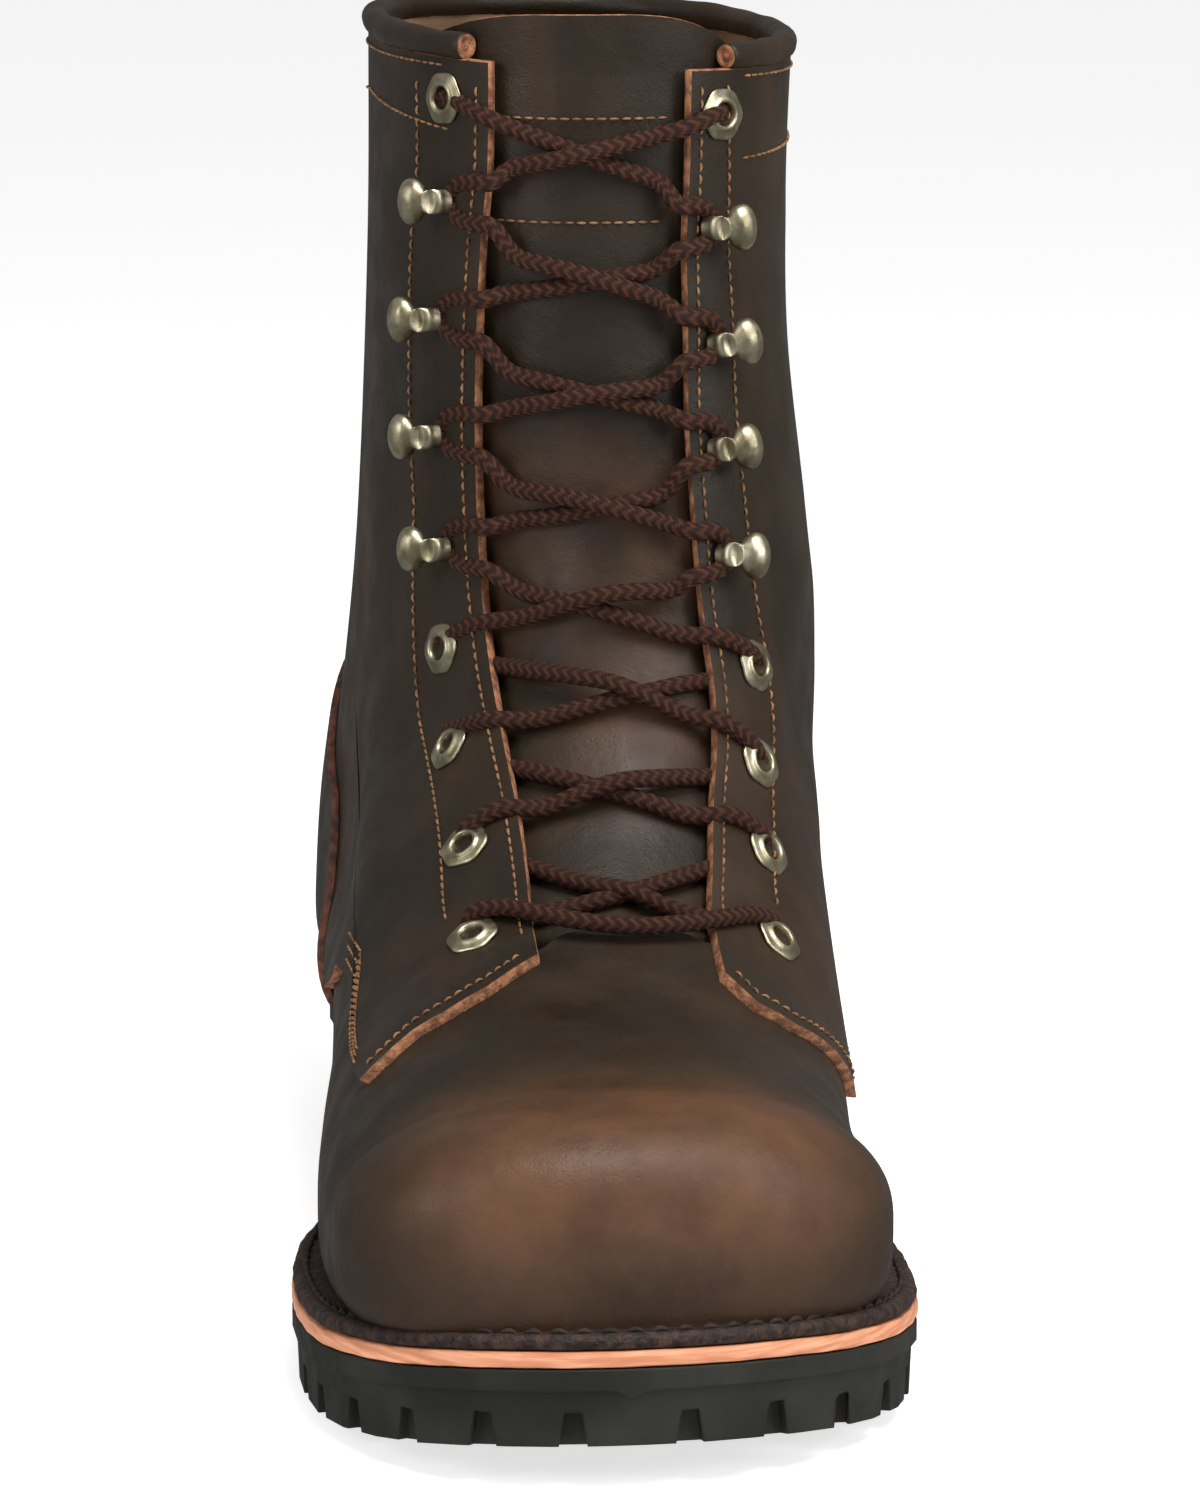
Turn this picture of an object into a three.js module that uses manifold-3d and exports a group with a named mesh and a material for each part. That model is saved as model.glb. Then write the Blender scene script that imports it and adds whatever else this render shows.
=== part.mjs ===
// Left work boot, about 10 inches tall, laced, standing empty on its sole.
// Millimetres. The toe points along -Y, the heel along +Y, +Z is up and +X is the outer (little-toe) side.
// The origin is on the floor under the middle of the heel.
import * as THREE from 'three';
import Module from 'manifold-3d';

const wasm = await Module();
wasm.setup();

// Overall sizes
const soleLength = 312;
const heelBack = 40;          // from the origin back to the heel's edge
const ballWidth = 118;        // sole across the ball of the foot
const shaftWidth = 90;        // upper across the shaft
const collarHeight = 240;     // floor to the front of the collar

// Sole stack
const rubber = 14.5;          // outsole with its lugs, at the forefoot
const lugDepth = 6.2;
const heelRise = 15;          // how much higher the heel seat lies than the forefoot
const toeSpring = 9;
const midsole = 3;
const welt = 3;
const seam = 0.3;             // gap between pieces that touch
const mouldStep = 0.9;        // the rubber's side steps in below its mould line
const mouldLine = 4;          // from the top of the rubber down to that step
const notchNarrow = 3.2;
const notchWide = 6.4;
const notchPitch = 17;
const notchReach = 17;        // length of a notch inward from the sole's edge
const heelBreast = 0.245;     // share of the length where the heel block's front face is
const insole = 3;

// Upper
const wall = 2.4;
const overlay = 2.1;          // leather that lies on the vamp or the quarter
const weltReveal = 5.2;       // welt seen outside the widest part of the upper
const toeZone = 40;           // length of the rounded toe box
const toeBulge = 15;          // height of the toe's widest line above the welt
const toeWidthPower = 2.5;
const toeHeightPower = 2.7;
const rollRadius = 2.9;
const tongueWall = 2.2;
const tongueRise = 7;         // tongue above the collar
const counterReach = 80;
const counterHeight = 80;
const tongueLap = 15;         // how far it reaches under each flap

// Hardware and lace
const eyeletFlange = 11.4;
const eyeletBore = 5.4;
const eyeletBarrel = 6.6;
const eyeletHeight = 1.5;
const hookBall = 8.6;
const hookStand = 6.2;        // middle of the ball above the leather
const hookNeck = 3.2;
const laceDiameter = 3.9;
const barLift = 1.5;          // lace bar above the lowest eyelets' middles

// Height of the rubber's top over the floor, as shares of the heel's rise and of the toe spring,
// from the heel (0) to the toe (1).
const bedRows = [
  { at: 0.00, rise: 1.00, spring: 0.00 }, { at: 0.12, rise: 0.99, spring: 0.00 },
  { at: 0.24, rise: 0.94, spring: 0.00 }, { at: 0.34, rise: 0.80, spring: 0.00 },
  { at: 0.44, rise: 0.54, spring: 0.00 }, { at: 0.53, rise: 0.24, spring: 0.00 },
  { at: 0.60, rise: 0.05, spring: 0.00 }, { at: 0.65, rise: 0.00, spring: 0.00 },
  { at: 0.73, rise: 0.00, spring: 0.00 }, { at: 0.80, rise: 0.00, spring: 0.10 },
  { at: 0.87, rise: 0.00, spring: 0.33 }, { at: 0.94, rise: 0.00, spring: 0.66 },
  { at: 1.00, rise: 0.00, spring: 1.00 },
];

// Sole outline: half width and sideways place of its middle, as shares of half the ball width.
const soleRows = [
  { at: 0.00, half: 0.61, middle: 0.01 }, { at: 0.13, half: 0.615, middle: 0.00 },
  { at: 0.25, half: 0.585, middle: 0.02 }, { at: 0.36, half: 0.57, middle: 0.06 },
  { at: 0.46, half: 0.63, middle: 0.08 }, { at: 0.56, half: 0.80, middle: 0.06 },
  { at: 0.65, half: 0.95, middle: 0.02 }, { at: 0.73, half: 1.00, middle: 0.00 },
  { at: 0.81, half: 0.99, middle: -0.01 }, { at: 0.90, half: 0.97, middle: -0.03 },
  { at: 1.00, half: 0.94, middle: -0.07 },
];

// Sections of the upper. Each is a ring in a plane that stands on edge: front is its top or front point,
// back its bottom or rear point. Their "at" is a share of the sole's length from the heel, their "up" a share
// of the height between welt and collar. Half widths are shares of the ball's and the shaft's half widths.
const lastRows = [
  { frontAt: 0.853, frontUp: 0.190, backAt: 0.853, backUp: -0.030, ball: 0.885, shaft: 0.000, wide: 0.41,
    round: 2.30, heel: 4.0, shift: -0.040, backShift: -0.040, lean: 0.0 },
  { frontAt: 0.775, frontUp: 0.213, backAt: 0.768, backUp: -0.030, ball: 0.885, shaft: 0.000, wide: 0.36,
    round: 2.25, heel: 4.0, shift: -0.040, backShift: -0.040, lean: 0.0 },
  { frontAt: 0.700, frontUp: 0.234, backAt: 0.680, backUp: -0.030, ball: 0.885, shaft: 0.000, wide: 0.33,
    round: 2.15, heel: 4.0, shift: -0.010, backShift: -0.010, lean: 0.0 },
  { frontAt: 0.630, frontUp: 0.266, backAt: 0.580, backUp: -0.030, ball: 0.880, shaft: 0.000, wide: 0.33,
    round: 2.05, heel: 3.8, shift: 0.060, backShift: 0.030, lean: 0.1 },
  { frontAt: 0.572, frontUp: 0.316, backAt: 0.465, backUp: -0.030, ball: 0.845, shaft: 0.000, wide: 0.38,
    round: 2.00, heel: 3.6, shift: 0.150, backShift: 0.050, lean: 0.2 },
  { frontAt: 0.531, frontUp: 0.370, backAt: 0.335, backUp: -0.030, ball: 0.815, shaft: 0.000, wide: 0.44,
    round: 2.00, heel: 3.5, shift: 0.220, backShift: 0.050, lean: 0.3 },
  { frontAt: 0.502, frontUp: 0.424, backAt: 0.195, backUp: -0.030, ball: 0.785, shaft: 0.000, wide: 0.48,
    round: 2.05, heel: 3.4, shift: 0.280, backShift: 0.050, lean: 0.4 },
  { frontAt: 0.481, frontUp: 0.479, backAt: 0.070, backUp: -0.030, ball: 0.000, shaft: 1.000, wide: 0.50,
    round: 2.10, heel: 3.2, shift: 0.320, backShift: 0.050, lean: 0.5 },
  { frontAt: 0.467, frontUp: 0.539, backAt: 0.024, backUp: 0.074, ball: 0.000, shaft: 1.000, wide: 0.50,
    round: 2.15, heel: 2.9, shift: 0.340, backShift: 0.080, lean: 0.6 },
  { frontAt: 0.457, frontUp: 0.607, backAt: 0.028, backUp: 0.210, ball: 0.000, shaft: 0.990, wide: 0.50,
    round: 2.20, heel: 2.5, shift: 0.340, backShift: 0.130, lean: 0.7 },
  { frontAt: 0.448, frontUp: 0.691, backAt: 0.040, backUp: 0.370, ball: 0.000, shaft: 0.960, wide: 0.50,
    round: 2.25, heel: 2.3, shift: 0.310, backShift: 0.170, lean: 0.8 },
  { frontAt: 0.440, frontUp: 0.795, backAt: 0.048, backUp: 0.585, ball: 0.000, shaft: 0.930, wide: 0.50,
    round: 2.30, heel: 2.2, shift: 0.260, backShift: 0.210, lean: 0.9 },
  { frontAt: 0.433, frontUp: 0.898, backAt: 0.048, backUp: 0.795, ball: 0.000, shaft: 0.915, wide: 0.50,
    round: 2.30, heel: 2.2, shift: 0.245, backShift: 0.235, lean: 1.0 },
  { frontAt: 0.427, frontUp: 1.000, backAt: 0.042, backUp: 1.005, ball: 0.000, shaft: 0.920, wide: 0.50,
    round: 2.30, heel: 2.2, shift: 0.250, backShift: 0.250, lean: 1.1 },
];
const leanUnit = 1.5;         // drop of the outer side, a section's lean of 1

// Throat: the inner and outer flap's edge, seen from the front. Up is a share of the collar's height,
// across a share of half the shaft's width.
const throatRows = [
  { up: 1.060, inner: -0.22, outer: 0.68 }, { up: 0.920, inner: -0.23, outer: 0.665 },
  { up: 0.860, inner: -0.26, outer: 0.645 }, { up: 0.790, inner: -0.28, outer: 0.645 },
  { up: 0.710, inner: -0.29, outer: 0.64 }, { up: 0.630, inner: -0.285, outer: 0.66 },
  { up: 0.555, inner: -0.27, outer: 0.685 }, { up: 0.495, inner: -0.25, outer: 0.72 },
  { up: 0.450, inner: -0.23, outer: 0.715 }, { up: 0.405, inner: -0.205, outer: 0.67 },
  { up: 0.365, inner: -0.20, outer: 0.635 }, { up: 0.335, inner: -0.21, outer: 0.60 },
];
// Vamp's arched edge across the foot of the throat, from the inner to the outer flap.
const archRows = [
  { up: 0.312, across: 0.59 }, { up: 0.325, across: 0.41 }, { up: 0.330, across: 0.22 },
  { up: 0.329, across: 0.06 }, { up: 0.325, across: -0.09 }, { up: 0.316, across: -0.205 },
];
// Quarter's lower edge on the vamp: turn round a section in degrees, place along the upper.
const quarterRows = [
  { turn: -180, place: 0.600 }, { turn: -165, place: 0.595 }, { turn: -150, place: 0.585 },
  { turn: -135, place: 0.572 }, { turn: -120, place: 0.555 }, { turn: -104, place: 0.527 },
  { turn: -88, place: 0.492 }, { turn: -75, place: 0.460 }, { turn: -65, place: 0.422 },
  { turn: -58, place: 0.345 }, { turn: -53, place: 0.294 }, { turn: -45, place: 0.300 },
  { turn: -37, place: 0.311 }, { turn: -29, place: 0.316 }, { turn: -20, place: 0.328 },
  { turn: -12, place: 0.348 }, { turn: 0, place: 0.375 }, { turn: 12, place: 0.375 },
  { turn: 27, place: 0.350 }, { turn: 36, place: 0.329 }, { turn: 47, place: 0.331 },
  { turn: 59, place: 0.349 }, { turn: 71, place: 0.366 }, { turn: 82, place: 0.376 },
  { turn: 88, place: 0.425 }, { turn: 98, place: 0.475 }, { turn: 111, place: 0.515 },
  { turn: 125, place: 0.550 }, { turn: 138, place: 0.572 }, { turn: 151, place: 0.585 },
  { turn: 166, place: 0.595 },
];
// Counter's outline from the side: reach forward from the heel, and height above the welt, as shares.
const counterRows = [
  { reach: 1.00, up: -0.05 }, { reach: 1.00, up: 0.06 }, { reach: 0.94, up: 0.30 }, { reach: 0.82, up: 0.54 },
  { reach: 0.64, up: 0.75 }, { reach: 0.42, up: 0.90 }, { reach: 0.20, up: 0.985 }, { reach: -0.20, up: 1.00 },
  { reach: -0.20, up: -0.05 },
];
// Lacing stations from the collar down, as shares of the collar's height and of half the shaft's width.
const stationRows = [
  { kind: 'eyelet', innerUp: 0.972, inner: -0.40, outerUp: 0.960, outer: 0.82 },
  { kind: 'hook', innerUp: 0.885, inner: -0.46, outerUp: 0.866, outer: 0.85 },
  { kind: 'hook', innerUp: 0.785, inner: -0.50, outerUp: 0.771, outer: 0.87 },
  { kind: 'hook', innerUp: 0.686, inner: -0.50, outerUp: 0.684, outer: 0.87 },
  { kind: 'hook', innerUp: 0.591, inner: -0.48, outerUp: 0.592, outer: 0.89 },
  { kind: 'eyelet', innerUp: 0.507, inner: -0.435, outerUp: 0.502, outer: 0.935 },
  { kind: 'eyelet', innerUp: 0.437, inner: -0.44, outerUp: 0.428, outer: 0.92 },
  { kind: 'eyelet', innerUp: 0.375, inner: -0.435, outerUp: 0.364, outer: 0.915 },
  { kind: 'eyelet', innerUp: 0.3225, inner: -0.46, outerUp: 0.306, outer: 0.905 },
];

// Smooth curve through one column of a table. The rows are evenly spaced, or spaced by their "at".
function column(rows, name, place, spacedBy) {
  const spots = rows.map((row, index) => (spacedBy ? row[spacedBy] : index));
  const last = rows.length - 1;
  let i = 0;
  while (i < last - 1 && place > spots[i + 1]) i += 1;
  const value = (k) => rows[Math.min(Math.max(k, 0), last)][name];
  const spot = (k) => (k < 0 ? 2 * spots[0] - spots[1] : k > last ? 2 * spots[last] - spots[last - 1] : spots[k]);
  const span = spots[i + 1] - spots[i];
  const s = (place - spots[i]) / span;
  const slopeAt = (k) => (value(k + 1) - value(k - 1)) / (spot(k + 1) - spot(k - 1));
  const [a, b, da, db] = [value(i), value(i + 1), slopeAt(i) * span, slopeAt(i + 1) * span];
  const [s2, s3] = [s * s, s * s * s];
  return a * (2 * s3 - 3 * s2 + 1) + da * (s3 - 2 * s2 + s) + b * (3 * s2 - 2 * s3) + db * (s3 - s2);
}

const clamp = (value, low, high) => Math.min(Math.max(value, low), high);
const along = (at) => heelBack - at * soleLength;
const shareAt = (y) => clamp((heelBack - y) / soleLength, 0, 1);

// Top of the rubber, and the plane that the upper's lower edge stands on.
function rubberTop(y) {
  const at = shareAt(y);
  const [rise, spring] = ['rise', 'spring'].map((name) => Math.max(0, column(bedRows, name, at, 'at')));
  return rubber + heelRise * rise + toeSpring * spring;
}
const weltTop = (y) => rubberTop(y) + seam + midsole + seam + welt;


// A closed body from rings of points that follow each other, with a flat fan over each end.
function loft(rings) {
  const count = rings[0].length;
  const points = rings.flat();
  const triangles = [];
  for (let i = 0; i < rings.length - 1; i += 1) {
    for (let j = 0; j < count; j += 1) {
      const [a, b] = [i * count + j, i * count + ((j + 1) % count)];
      triangles.push(a, b, b + count, a, b + count, a + count);
    }
  }
  [0, rings.length - 1].forEach((index) => {
    const ring = rings[index];
    const middle = [0, 1, 2].map((k) => ring.reduce((sum, p) => sum + p[k], 0) / count);
    points.push(middle);
    for (let j = 0; j < count; j += 1) {
      const [a, b] = [index * count + j, index * count + ((j + 1) % count)];
      triangles.push(...(index === 0 ? [b, a] : [a, b]), points.length - 1);
    }
  });
  return solid(points, triangles);
}

// A manifold body from points and triangles, turned so that its faces point out.
function solid(points, triangles) {
  let volume = 0;
  for (let i = 0; i < triangles.length; i += 3) {
    const [a, b, c] = [points[triangles[i]], points[triangles[i + 1]], points[triangles[i + 2]]];
    volume += a[0] * (b[1] * c[2] - b[2] * c[1]) - a[1] * (b[0] * c[2] - b[2] * c[0])
      + a[2] * (b[0] * c[1] - b[1] * c[0]);
  }
  const turned = triangles.slice();
  if (volume < 0) {
    for (let i = 0; i < turned.length; i += 3) [turned[i], turned[i + 1]] = [turned[i + 1], turned[i]];
  }
  return new wasm.Manifold(new wasm.Mesh({
    numProp: 3, vertProperties: new Float32Array(points.flat()), triVerts: new Uint32Array(turned),
  }));
}

// A straight prism: an outline of [u, v] points pushed from one depth to the other, placed by a function.
function prism(outline, from, to, place) {
  return loft([from, to].map((depth) => outline.map(([u, v]) => place(u, v, depth))));
}

function mesh(name, body, colour, roughness, metalness = 0) {
  const data = body.getMesh();
  const geometry = new THREE.BufferGeometry();
  geometry.setAttribute('position', new THREE.BufferAttribute(new Float32Array(data.vertProperties), 3));
  geometry.setIndex(new THREE.BufferAttribute(new Uint32Array(data.triVerts), 1));
  geometry.computeVertexNormals();
  const part = new THREE.Mesh(geometry, new THREE.MeshStandardMaterial({ color: colour, roughness, metalness }));
  part.name = name;
  return part;
}

// Point of the sole's edge: place runs from the heel (0) round one side (-1 inner, 1 outer) to the toe (1).
function soleEdge(place, side, inset) {
  const length = soleLength - 2 * inset;
  const [heelZone, toeZoneShare] = [0.13, 0.22];
  let at = place;
  let round = 1;
  if (place < heelZone) {
    const turn = (place / heelZone) * (Math.PI / 2);
    at = heelZone * (1 - Math.cos(turn));
    round = Math.sin(turn) ** (2 / 2.3);
  } else if (place > 1 - toeZoneShare) {
    const turn = ((place - 1 + toeZoneShare) / toeZoneShare) * (Math.PI / 2);
    const reach = Math.sin(turn) ** (2 / 2.35);
    at = 1 - toeZoneShare + toeZoneShare * reach;
    round = Math.cos(turn) ** (2 / 2.35);
  }
  const half = column(soleRows, 'half', at, 'at') * (ballWidth / 2) - inset;
  const middle = column(soleRows, 'middle', at, 'at') * (ballWidth / 2);
  return [middle + side * half * round, heelBack - inset - at * length];
}

// Rows of points across the sole, from heel to toe, at which every layer of it is cut into faces.
const soleSteps = [0.012, 0.03, 0.05, 0.075, 0.1, 0.13, 0.17, 0.21, 0.245, 0.29, 0.34, 0.39, 0.44, 0.49, 0.54,
  0.59, 0.64, 0.69, 0.74, 0.78, 0.81, 0.84, 0.87, 0.9, 0.925, 0.95, 0.97, 0.985, 0.995];

// A layer of the sole between two heights. The profile runs down its side: drop from the top, and inset.
function soleLayer(topOf, bottomOf, profile, inset = 0, from = 0, to = 1) {
  const steps = [from, ...soleSteps.filter((s) => s > from + 0.006 && s < to - 0.004), to]
    .filter((s) => s > 0.01 && s < 0.998);
  return loft(steps.map((step) => {
    const right = profile.map(([drop, extra]) => {
      const [x, y] = soleEdge(step, 1, inset + extra);
      const z = drop === null ? bottomOf(y) : topOf(y) - drop;
      return [x, y, z];
    });
    const left = profile.map(([drop, extra]) => {
      const [x, y] = soleEdge(step, -1, inset + extra);
      const z = drop === null ? bottomOf(y) : topOf(y) - drop;
      return [x, y, z];
    }).reverse();
    return [...right, ...left];
  }));
}

const plain = [[0, 0], [null, 0]];
const soleBottom = (y) => {
  const at = shareAt(y);
  const arch = clamp((0.6 - at) / 0.07, 0, 1);
  const eased = arch * arch * (3 - 2 * arch);
  return rubberTop(y) - rubber + eased * lugDepth;
};

// Wedges cut through the sole's edge between the lugs, narrow at their roots.
function notches(from, to, bottomOf) {
  const cuts = [];
  const samples = [];
  [-1, 1].forEach((side) => {
    let walked = notchPitch * 0.5;
    let before = null;
    for (let place = to; place >= from; place -= 0.0025) {
      const here = soleEdge(place, side, 0);
      if (before) walked += Math.hypot(here[0] - before[0], here[1] - before[1]);
      before = here;
      if (walked >= notchPitch) {
        walked = 0;
        samples.push({ place, side });
      }
    }
  });
  samples.forEach(({ place, side }) => {
    const here = soleEdge(place, side, 0);
    const next = soleEdge(place + 0.002, side, 0);
    const tangent = Math.atan2(next[1] - here[1], next[0] - here[0]);
    const inward = [side * -Math.sin(tangent), side * Math.cos(tangent)].map((v) => v * -1);
    const flow = [Math.cos(tangent), Math.sin(tangent)];
    const floor = bottomOf(here[1]);
    const outline = [[-notchWide / 2, -4], [notchWide / 2, -4], [notchNarrow / 2, lugDepth], [-notchNarrow / 2, lugDepth]];
    cuts.push(prism(outline, -4, notchReach, (u, v, depth) => [
      here[0] + flow[0] * u - inward[0] * depth,
      here[1] + flow[1] * u - inward[1] * depth,
      floor + v,
    ]));
  });
  return cuts;
}

function box(x0, x1, y0, y1, z0, z1) {
  return prism([[x0, y0], [x1, y0], [x1, y1], [x0, y1]], z0, z1, (u, v, depth) => [u, v, depth]);
}

// Outsole: forefoot with lugs, waist and the layer over the heel, in one piece of rubber.
function makeOutsole() {
  const side = [[0, 0], [mouldLine, 0], [mouldLine + 0.3, mouldStep], [null, mouldStep + 0.4]];
  let body = soleLayer(rubberTop, soleBottom, side);
  notches(0.585, 0.997, soleBottom).forEach((cut) => { body = body.subtract(cut); });
  const [front, rear] = [along(0.94), along(0.6)];
  const half = ballWidth / 2 - notchReach - 4;
  const rows = 6;
  for (let i = 0; i <= rows; i += 1) {
    const y = rear + ((front - rear) * i) / rows;
    const z = soleBottom(y);
    body = body.subtract(box(-half, half, y - notchNarrow, y + notchNarrow, z - 8, z + lugDepth));
  }
  return body.subtract(prism(
    [[-notchNarrow, rear + 6], [notchNarrow, rear + 6], [notchNarrow, front + 12], [-notchNarrow, front + 12]],
    -8, lugDepth, (u, v, depth) => [u, v, depth],
  ));
}

// Heel block under the rear of the outsole, on the floor, with lugs round its edge.
function makeHeel() {
  const top = (y) => rubberTop(y) - rubber + lugDepth - seam;
  const side = [[0, mouldStep + 0.4], [null, mouldStep]];
  let body = soleLayer(top, () => 0, side, 0, 0, heelBreast);
  notches(0.02, heelBreast - 0.03, () => 0).forEach((cut) => { body = body.subtract(cut); });
  return body;
}

const makeMidsole = () => soleLayer((y) => rubberTop(y) + seam + midsole, (y) => rubberTop(y) + seam, plain);

// Welt: a strip round the whole sole, open inside.
function makeWelt() {
  const bottom = (y) => rubberTop(y) + seam + midsole + seam;
  const whole = soleLayer(weltTop, bottom, plain);
  const inner = soleLayer((y) => weltTop(y) + 5, (y) => bottom(y) - 5, plain, weltReveal + 9);
  return whole.subtract(inner);
}

// The upper's form. Ring place 0 is the toe's tip and 1 the collar; turn 0 is the front or top of a section,
// pi its back or bottom. An inset moves the surface into the boot.
const toeShare = 0.2;
function upperPoint(place, turn, inset = 0) {
  const inToe = place < toeShare;
  const row = inToe ? 0 : ((place - toeShare) / (1 - toeShare)) * (lastRows.length - 1);
  const get = (name) => column(lastRows, name, row);
  let [frontY, backY] = [along(get('frontAt')), along(get('backAt'))];
  let frontZ = weltTop(frontY) + get('frontUp') * (collarHeight - weltTop(frontY));
  let backZ = weltTop(backY) + get('backUp') * (collarHeight - weltTop(backY));
  const [heightUp, span] = [frontZ - backZ, Math.hypot(frontY - backY, frontZ - backZ)];
  const dir = [(frontY - backY) / span, heightUp / span];
  [frontY, frontZ] = [frontY - dir[0] * inset, frontZ - dir[1] * inset];
  [backY, backZ] = [backY + dir[0] * inset, backZ + dir[1] * inset];
  let half = get('ball') * (ballWidth / 2) + get('shaft') * (shaftWidth / 2) - inset;
  let wide = get('wide');
  let tipShift = 0;
  if (inToe) {
    const angle = (clamp(place, 0.004, toeShare) / toeShare) * (Math.PI / 2);
    const out = Math.cos(angle) ** (2 / toeWidthPower);
    const narrow = Math.sin(angle) ** (2 / toeWidthPower);
    const low = (1 - out ** toeHeightPower) ** (1 / toeHeightPower);
    const y = frontY - out * (toeZone - inset);
    const bulge = weltTop(y) + toeBulge;
    const fullHeight = frontZ - (weltTop(along(lastRows[0].frontAt)) + toeBulge);
    frontZ = bulge + fullHeight * low;
    backZ = weltTop(y) + lastRows[0].backUp * (collarHeight - weltTop(y)) + inset;
    wide = (bulge - backZ) / (frontZ - backZ);
    [frontY, backY] = [y, y];
    tipShift = -out * out * 0.06 * (ballWidth / 2);
    half *= narrow;
  }
  const [c, s] = [Math.cos(turn), Math.sin(turn)];
  const power = c >= 0 ? get('round') : get('heel');
  const share = c >= 0 ? wide + (1 - wide) * Math.abs(c) ** (2 / power) : wide - wide * Math.abs(c) ** (2 / power);
  const across = Math.sign(s) * Math.abs(s) ** (2 / power);
  const drop = get('lean') * leanUnit * across * (inToe ? 0 : 1);
  const shift = (get('backShift') + (get('shift') - get('backShift')) * share) * (ballWidth / 2) + tipShift;
  return [shift + half * across, backY + (frontY - backY) * share, backZ + (frontZ - backZ) * share - drop];
}

const ringPlaces = [0.004, 0.03, 0.065, 0.11, 0.155, 0.2, 0.25, 0.3, 0.35, 0.4, 0.45, 0.5, 0.55, 0.6, 0.65,
  0.71, 0.78, 0.86, 0.93, 1];
const ringTurns = quarterRows.map((row) => (row.turn * Math.PI) / 180);

// The upper's form as a closed body, at an inset, lengthened past the collar.
function upperForm(inset, above = 0) {
  const rings = ringPlaces.map((place) => ringTurns.map((turn) => upperPoint(place, turn, inset)));
  if (above) rings.push(rings[rings.length - 1].map(([x, y, z]) => [x, y, z + above]));
  return loft(rings);
}

// Everything below the plane that the upper stands on.
function belowWelt(raise) {
  const steps = Array.from({ length: 41 }, (_, i) => i / 40);
  return loft(steps.map((s) => {
    const y = heelBack + 30 - s * (soleLength + 60);
    const z = weltTop(y) + raise + facetSlack;
    return [[-100, y, z], [100, y, z], [100, y, -60], [-100, y, -60]];
  }));
}

// Point of the upper, at an inset, that stands at x and z seen from the front.
function turnAt(place, x, inset) {
  let [low, high] = [-Math.PI / 2, Math.PI / 2];
  for (let i = 0; i < 30; i += 1) {
    const middle = (low + high) / 2;
    if (upperPoint(place, middle, inset)[0] < x) low = middle;
    else high = middle;
  }
  return (low + high) / 2;
}

function frontSpot(x, z, inset) {
  let [low, high] = [toeShare, 1];
  for (let i = 0; i < 26; i += 1) {
    const middle = (low + high) / 2;
    if (upperPoint(middle, turnAt(middle, x, inset), inset)[2] < z) low = middle;
    else high = middle;
  }
  const place = (low + high) / 2;
  return { place, turn: turnAt(place, x, inset) };
}

// The same point with its outward direction and the direction up along the leather.
function frontFrame(x, z, inset) {
  const { place, turn } = frontSpot(x, z, inset);
  const vector = (p) => new THREE.Vector3(...p);
  const at = vector(upperPoint(place, turn, inset));
  const up = vector(upperPoint(place + 0.004, turn, inset)).sub(vector(upperPoint(place - 0.004, turn, inset)));
  const round = vector(upperPoint(place, turn + 0.01, inset)).sub(vector(upperPoint(place, turn - 0.01, inset)));
  const out = round.clone().cross(up).normalize();
  if (out.y > 0) out.negate();
  return { at, out, up: up.normalize(), side: up.clone().normalize().cross(out).normalize() };
}

const halfShaft = shaftWidth / 2;
const quarterSteps = [0, 0.13, 0.27, 0.41, 0.55, 0.7, 0.85, 1];
const facetSlack = 0.2;       // spare room where flat faces stand for a curved plane
const quarterCore = 5 * wall; // the quarter's ring reaches this far in before the inside is cut out
const throatDepth = [-soleLength, along(0.32)];

// Prism seen from the front, from before the toe to the middle of the shaft.
const frontPrism = (outline) => prism(outline, ...throatDepth, (x, z, y) => [x, y, z]);

function throatCut(foot) {
  const up = throatRows.map((row) => [row.inner * halfShaft, row.up * collarHeight]);
  const down = throatRows.map((row) => [row.outer * halfShaft, row.up * collarHeight]).reverse();
  return frontPrism([...down, ...up, ...foot]);
}

// Ring of leather between two insets, from an edge given for each turn up to the collar.
function leatherBand(rows, outerInset, innerInset, steps) {
  const outer = steps.map((s) => rows.map(({ turn, place }) =>
    upperPoint(place + (1 - place) * s, (turn * Math.PI) / 180, outerInset)));
  const inner = steps.slice().reverse().map((s) => rows.map(({ turn, place }) =>
    upperPoint(place + (1 - place) * s, (turn * Math.PI) / 180, innerInset)));
  const rings = [...outer, ...inner];
  const count = rows.length;
  const triangles = [];
  rings.forEach((ring, i) => {
    const next = (i + 1) % rings.length;
    ring.forEach((point, j) => {
      const k = (j + 1) % count;
      triangles.push(i * count + j, i * count + k, next * count + k, i * count + j, next * count + k, next * count + j);
    });
  });
  return solid(rings.flat(), triangles);
}

function stations() {
  const list = [];
  stationRows.forEach((row, index) => {
    list.push({ kind: row.kind, side: 'inner', sign: -1, index, x: row.inner * halfShaft, z: row.innerUp * collarHeight });
    list.push({ kind: row.kind, side: 'outer', sign: 1, index, x: row.outer * halfShaft, z: row.outerUp * collarHeight });
  });
  return list.map((spot) => ({ ...spot, frame: frontFrame(spot.x, spot.z, -overlay) }));
}

// Body from rings of [radius, height] round a station's outward axis, closed into a tube.
function turned(frame, profile, sides) {
  const rings = Array.from({ length: sides }, (_, j) => {
    const angle = (j / sides) * Math.PI * 2;
    return profile.map(([radius, height]) => frame.at.clone()
      .addScaledVector(frame.side, radius * Math.cos(angle))
      .addScaledVector(frame.up, radius * Math.sin(angle))
      .addScaledVector(frame.out, height).toArray());
  });
  const count = profile.length;
  const triangles = [];
  rings.forEach((ring, i) => {
    const next = (i + 1) % sides;
    ring.forEach((point, j) => {
      const k = (j + 1) % count;
      triangles.push(i * count + j, i * count + k, next * count + k, i * count + j, next * count + k, next * count + j);
    });
  });
  return solid(rings.flat(), triangles);
}

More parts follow.
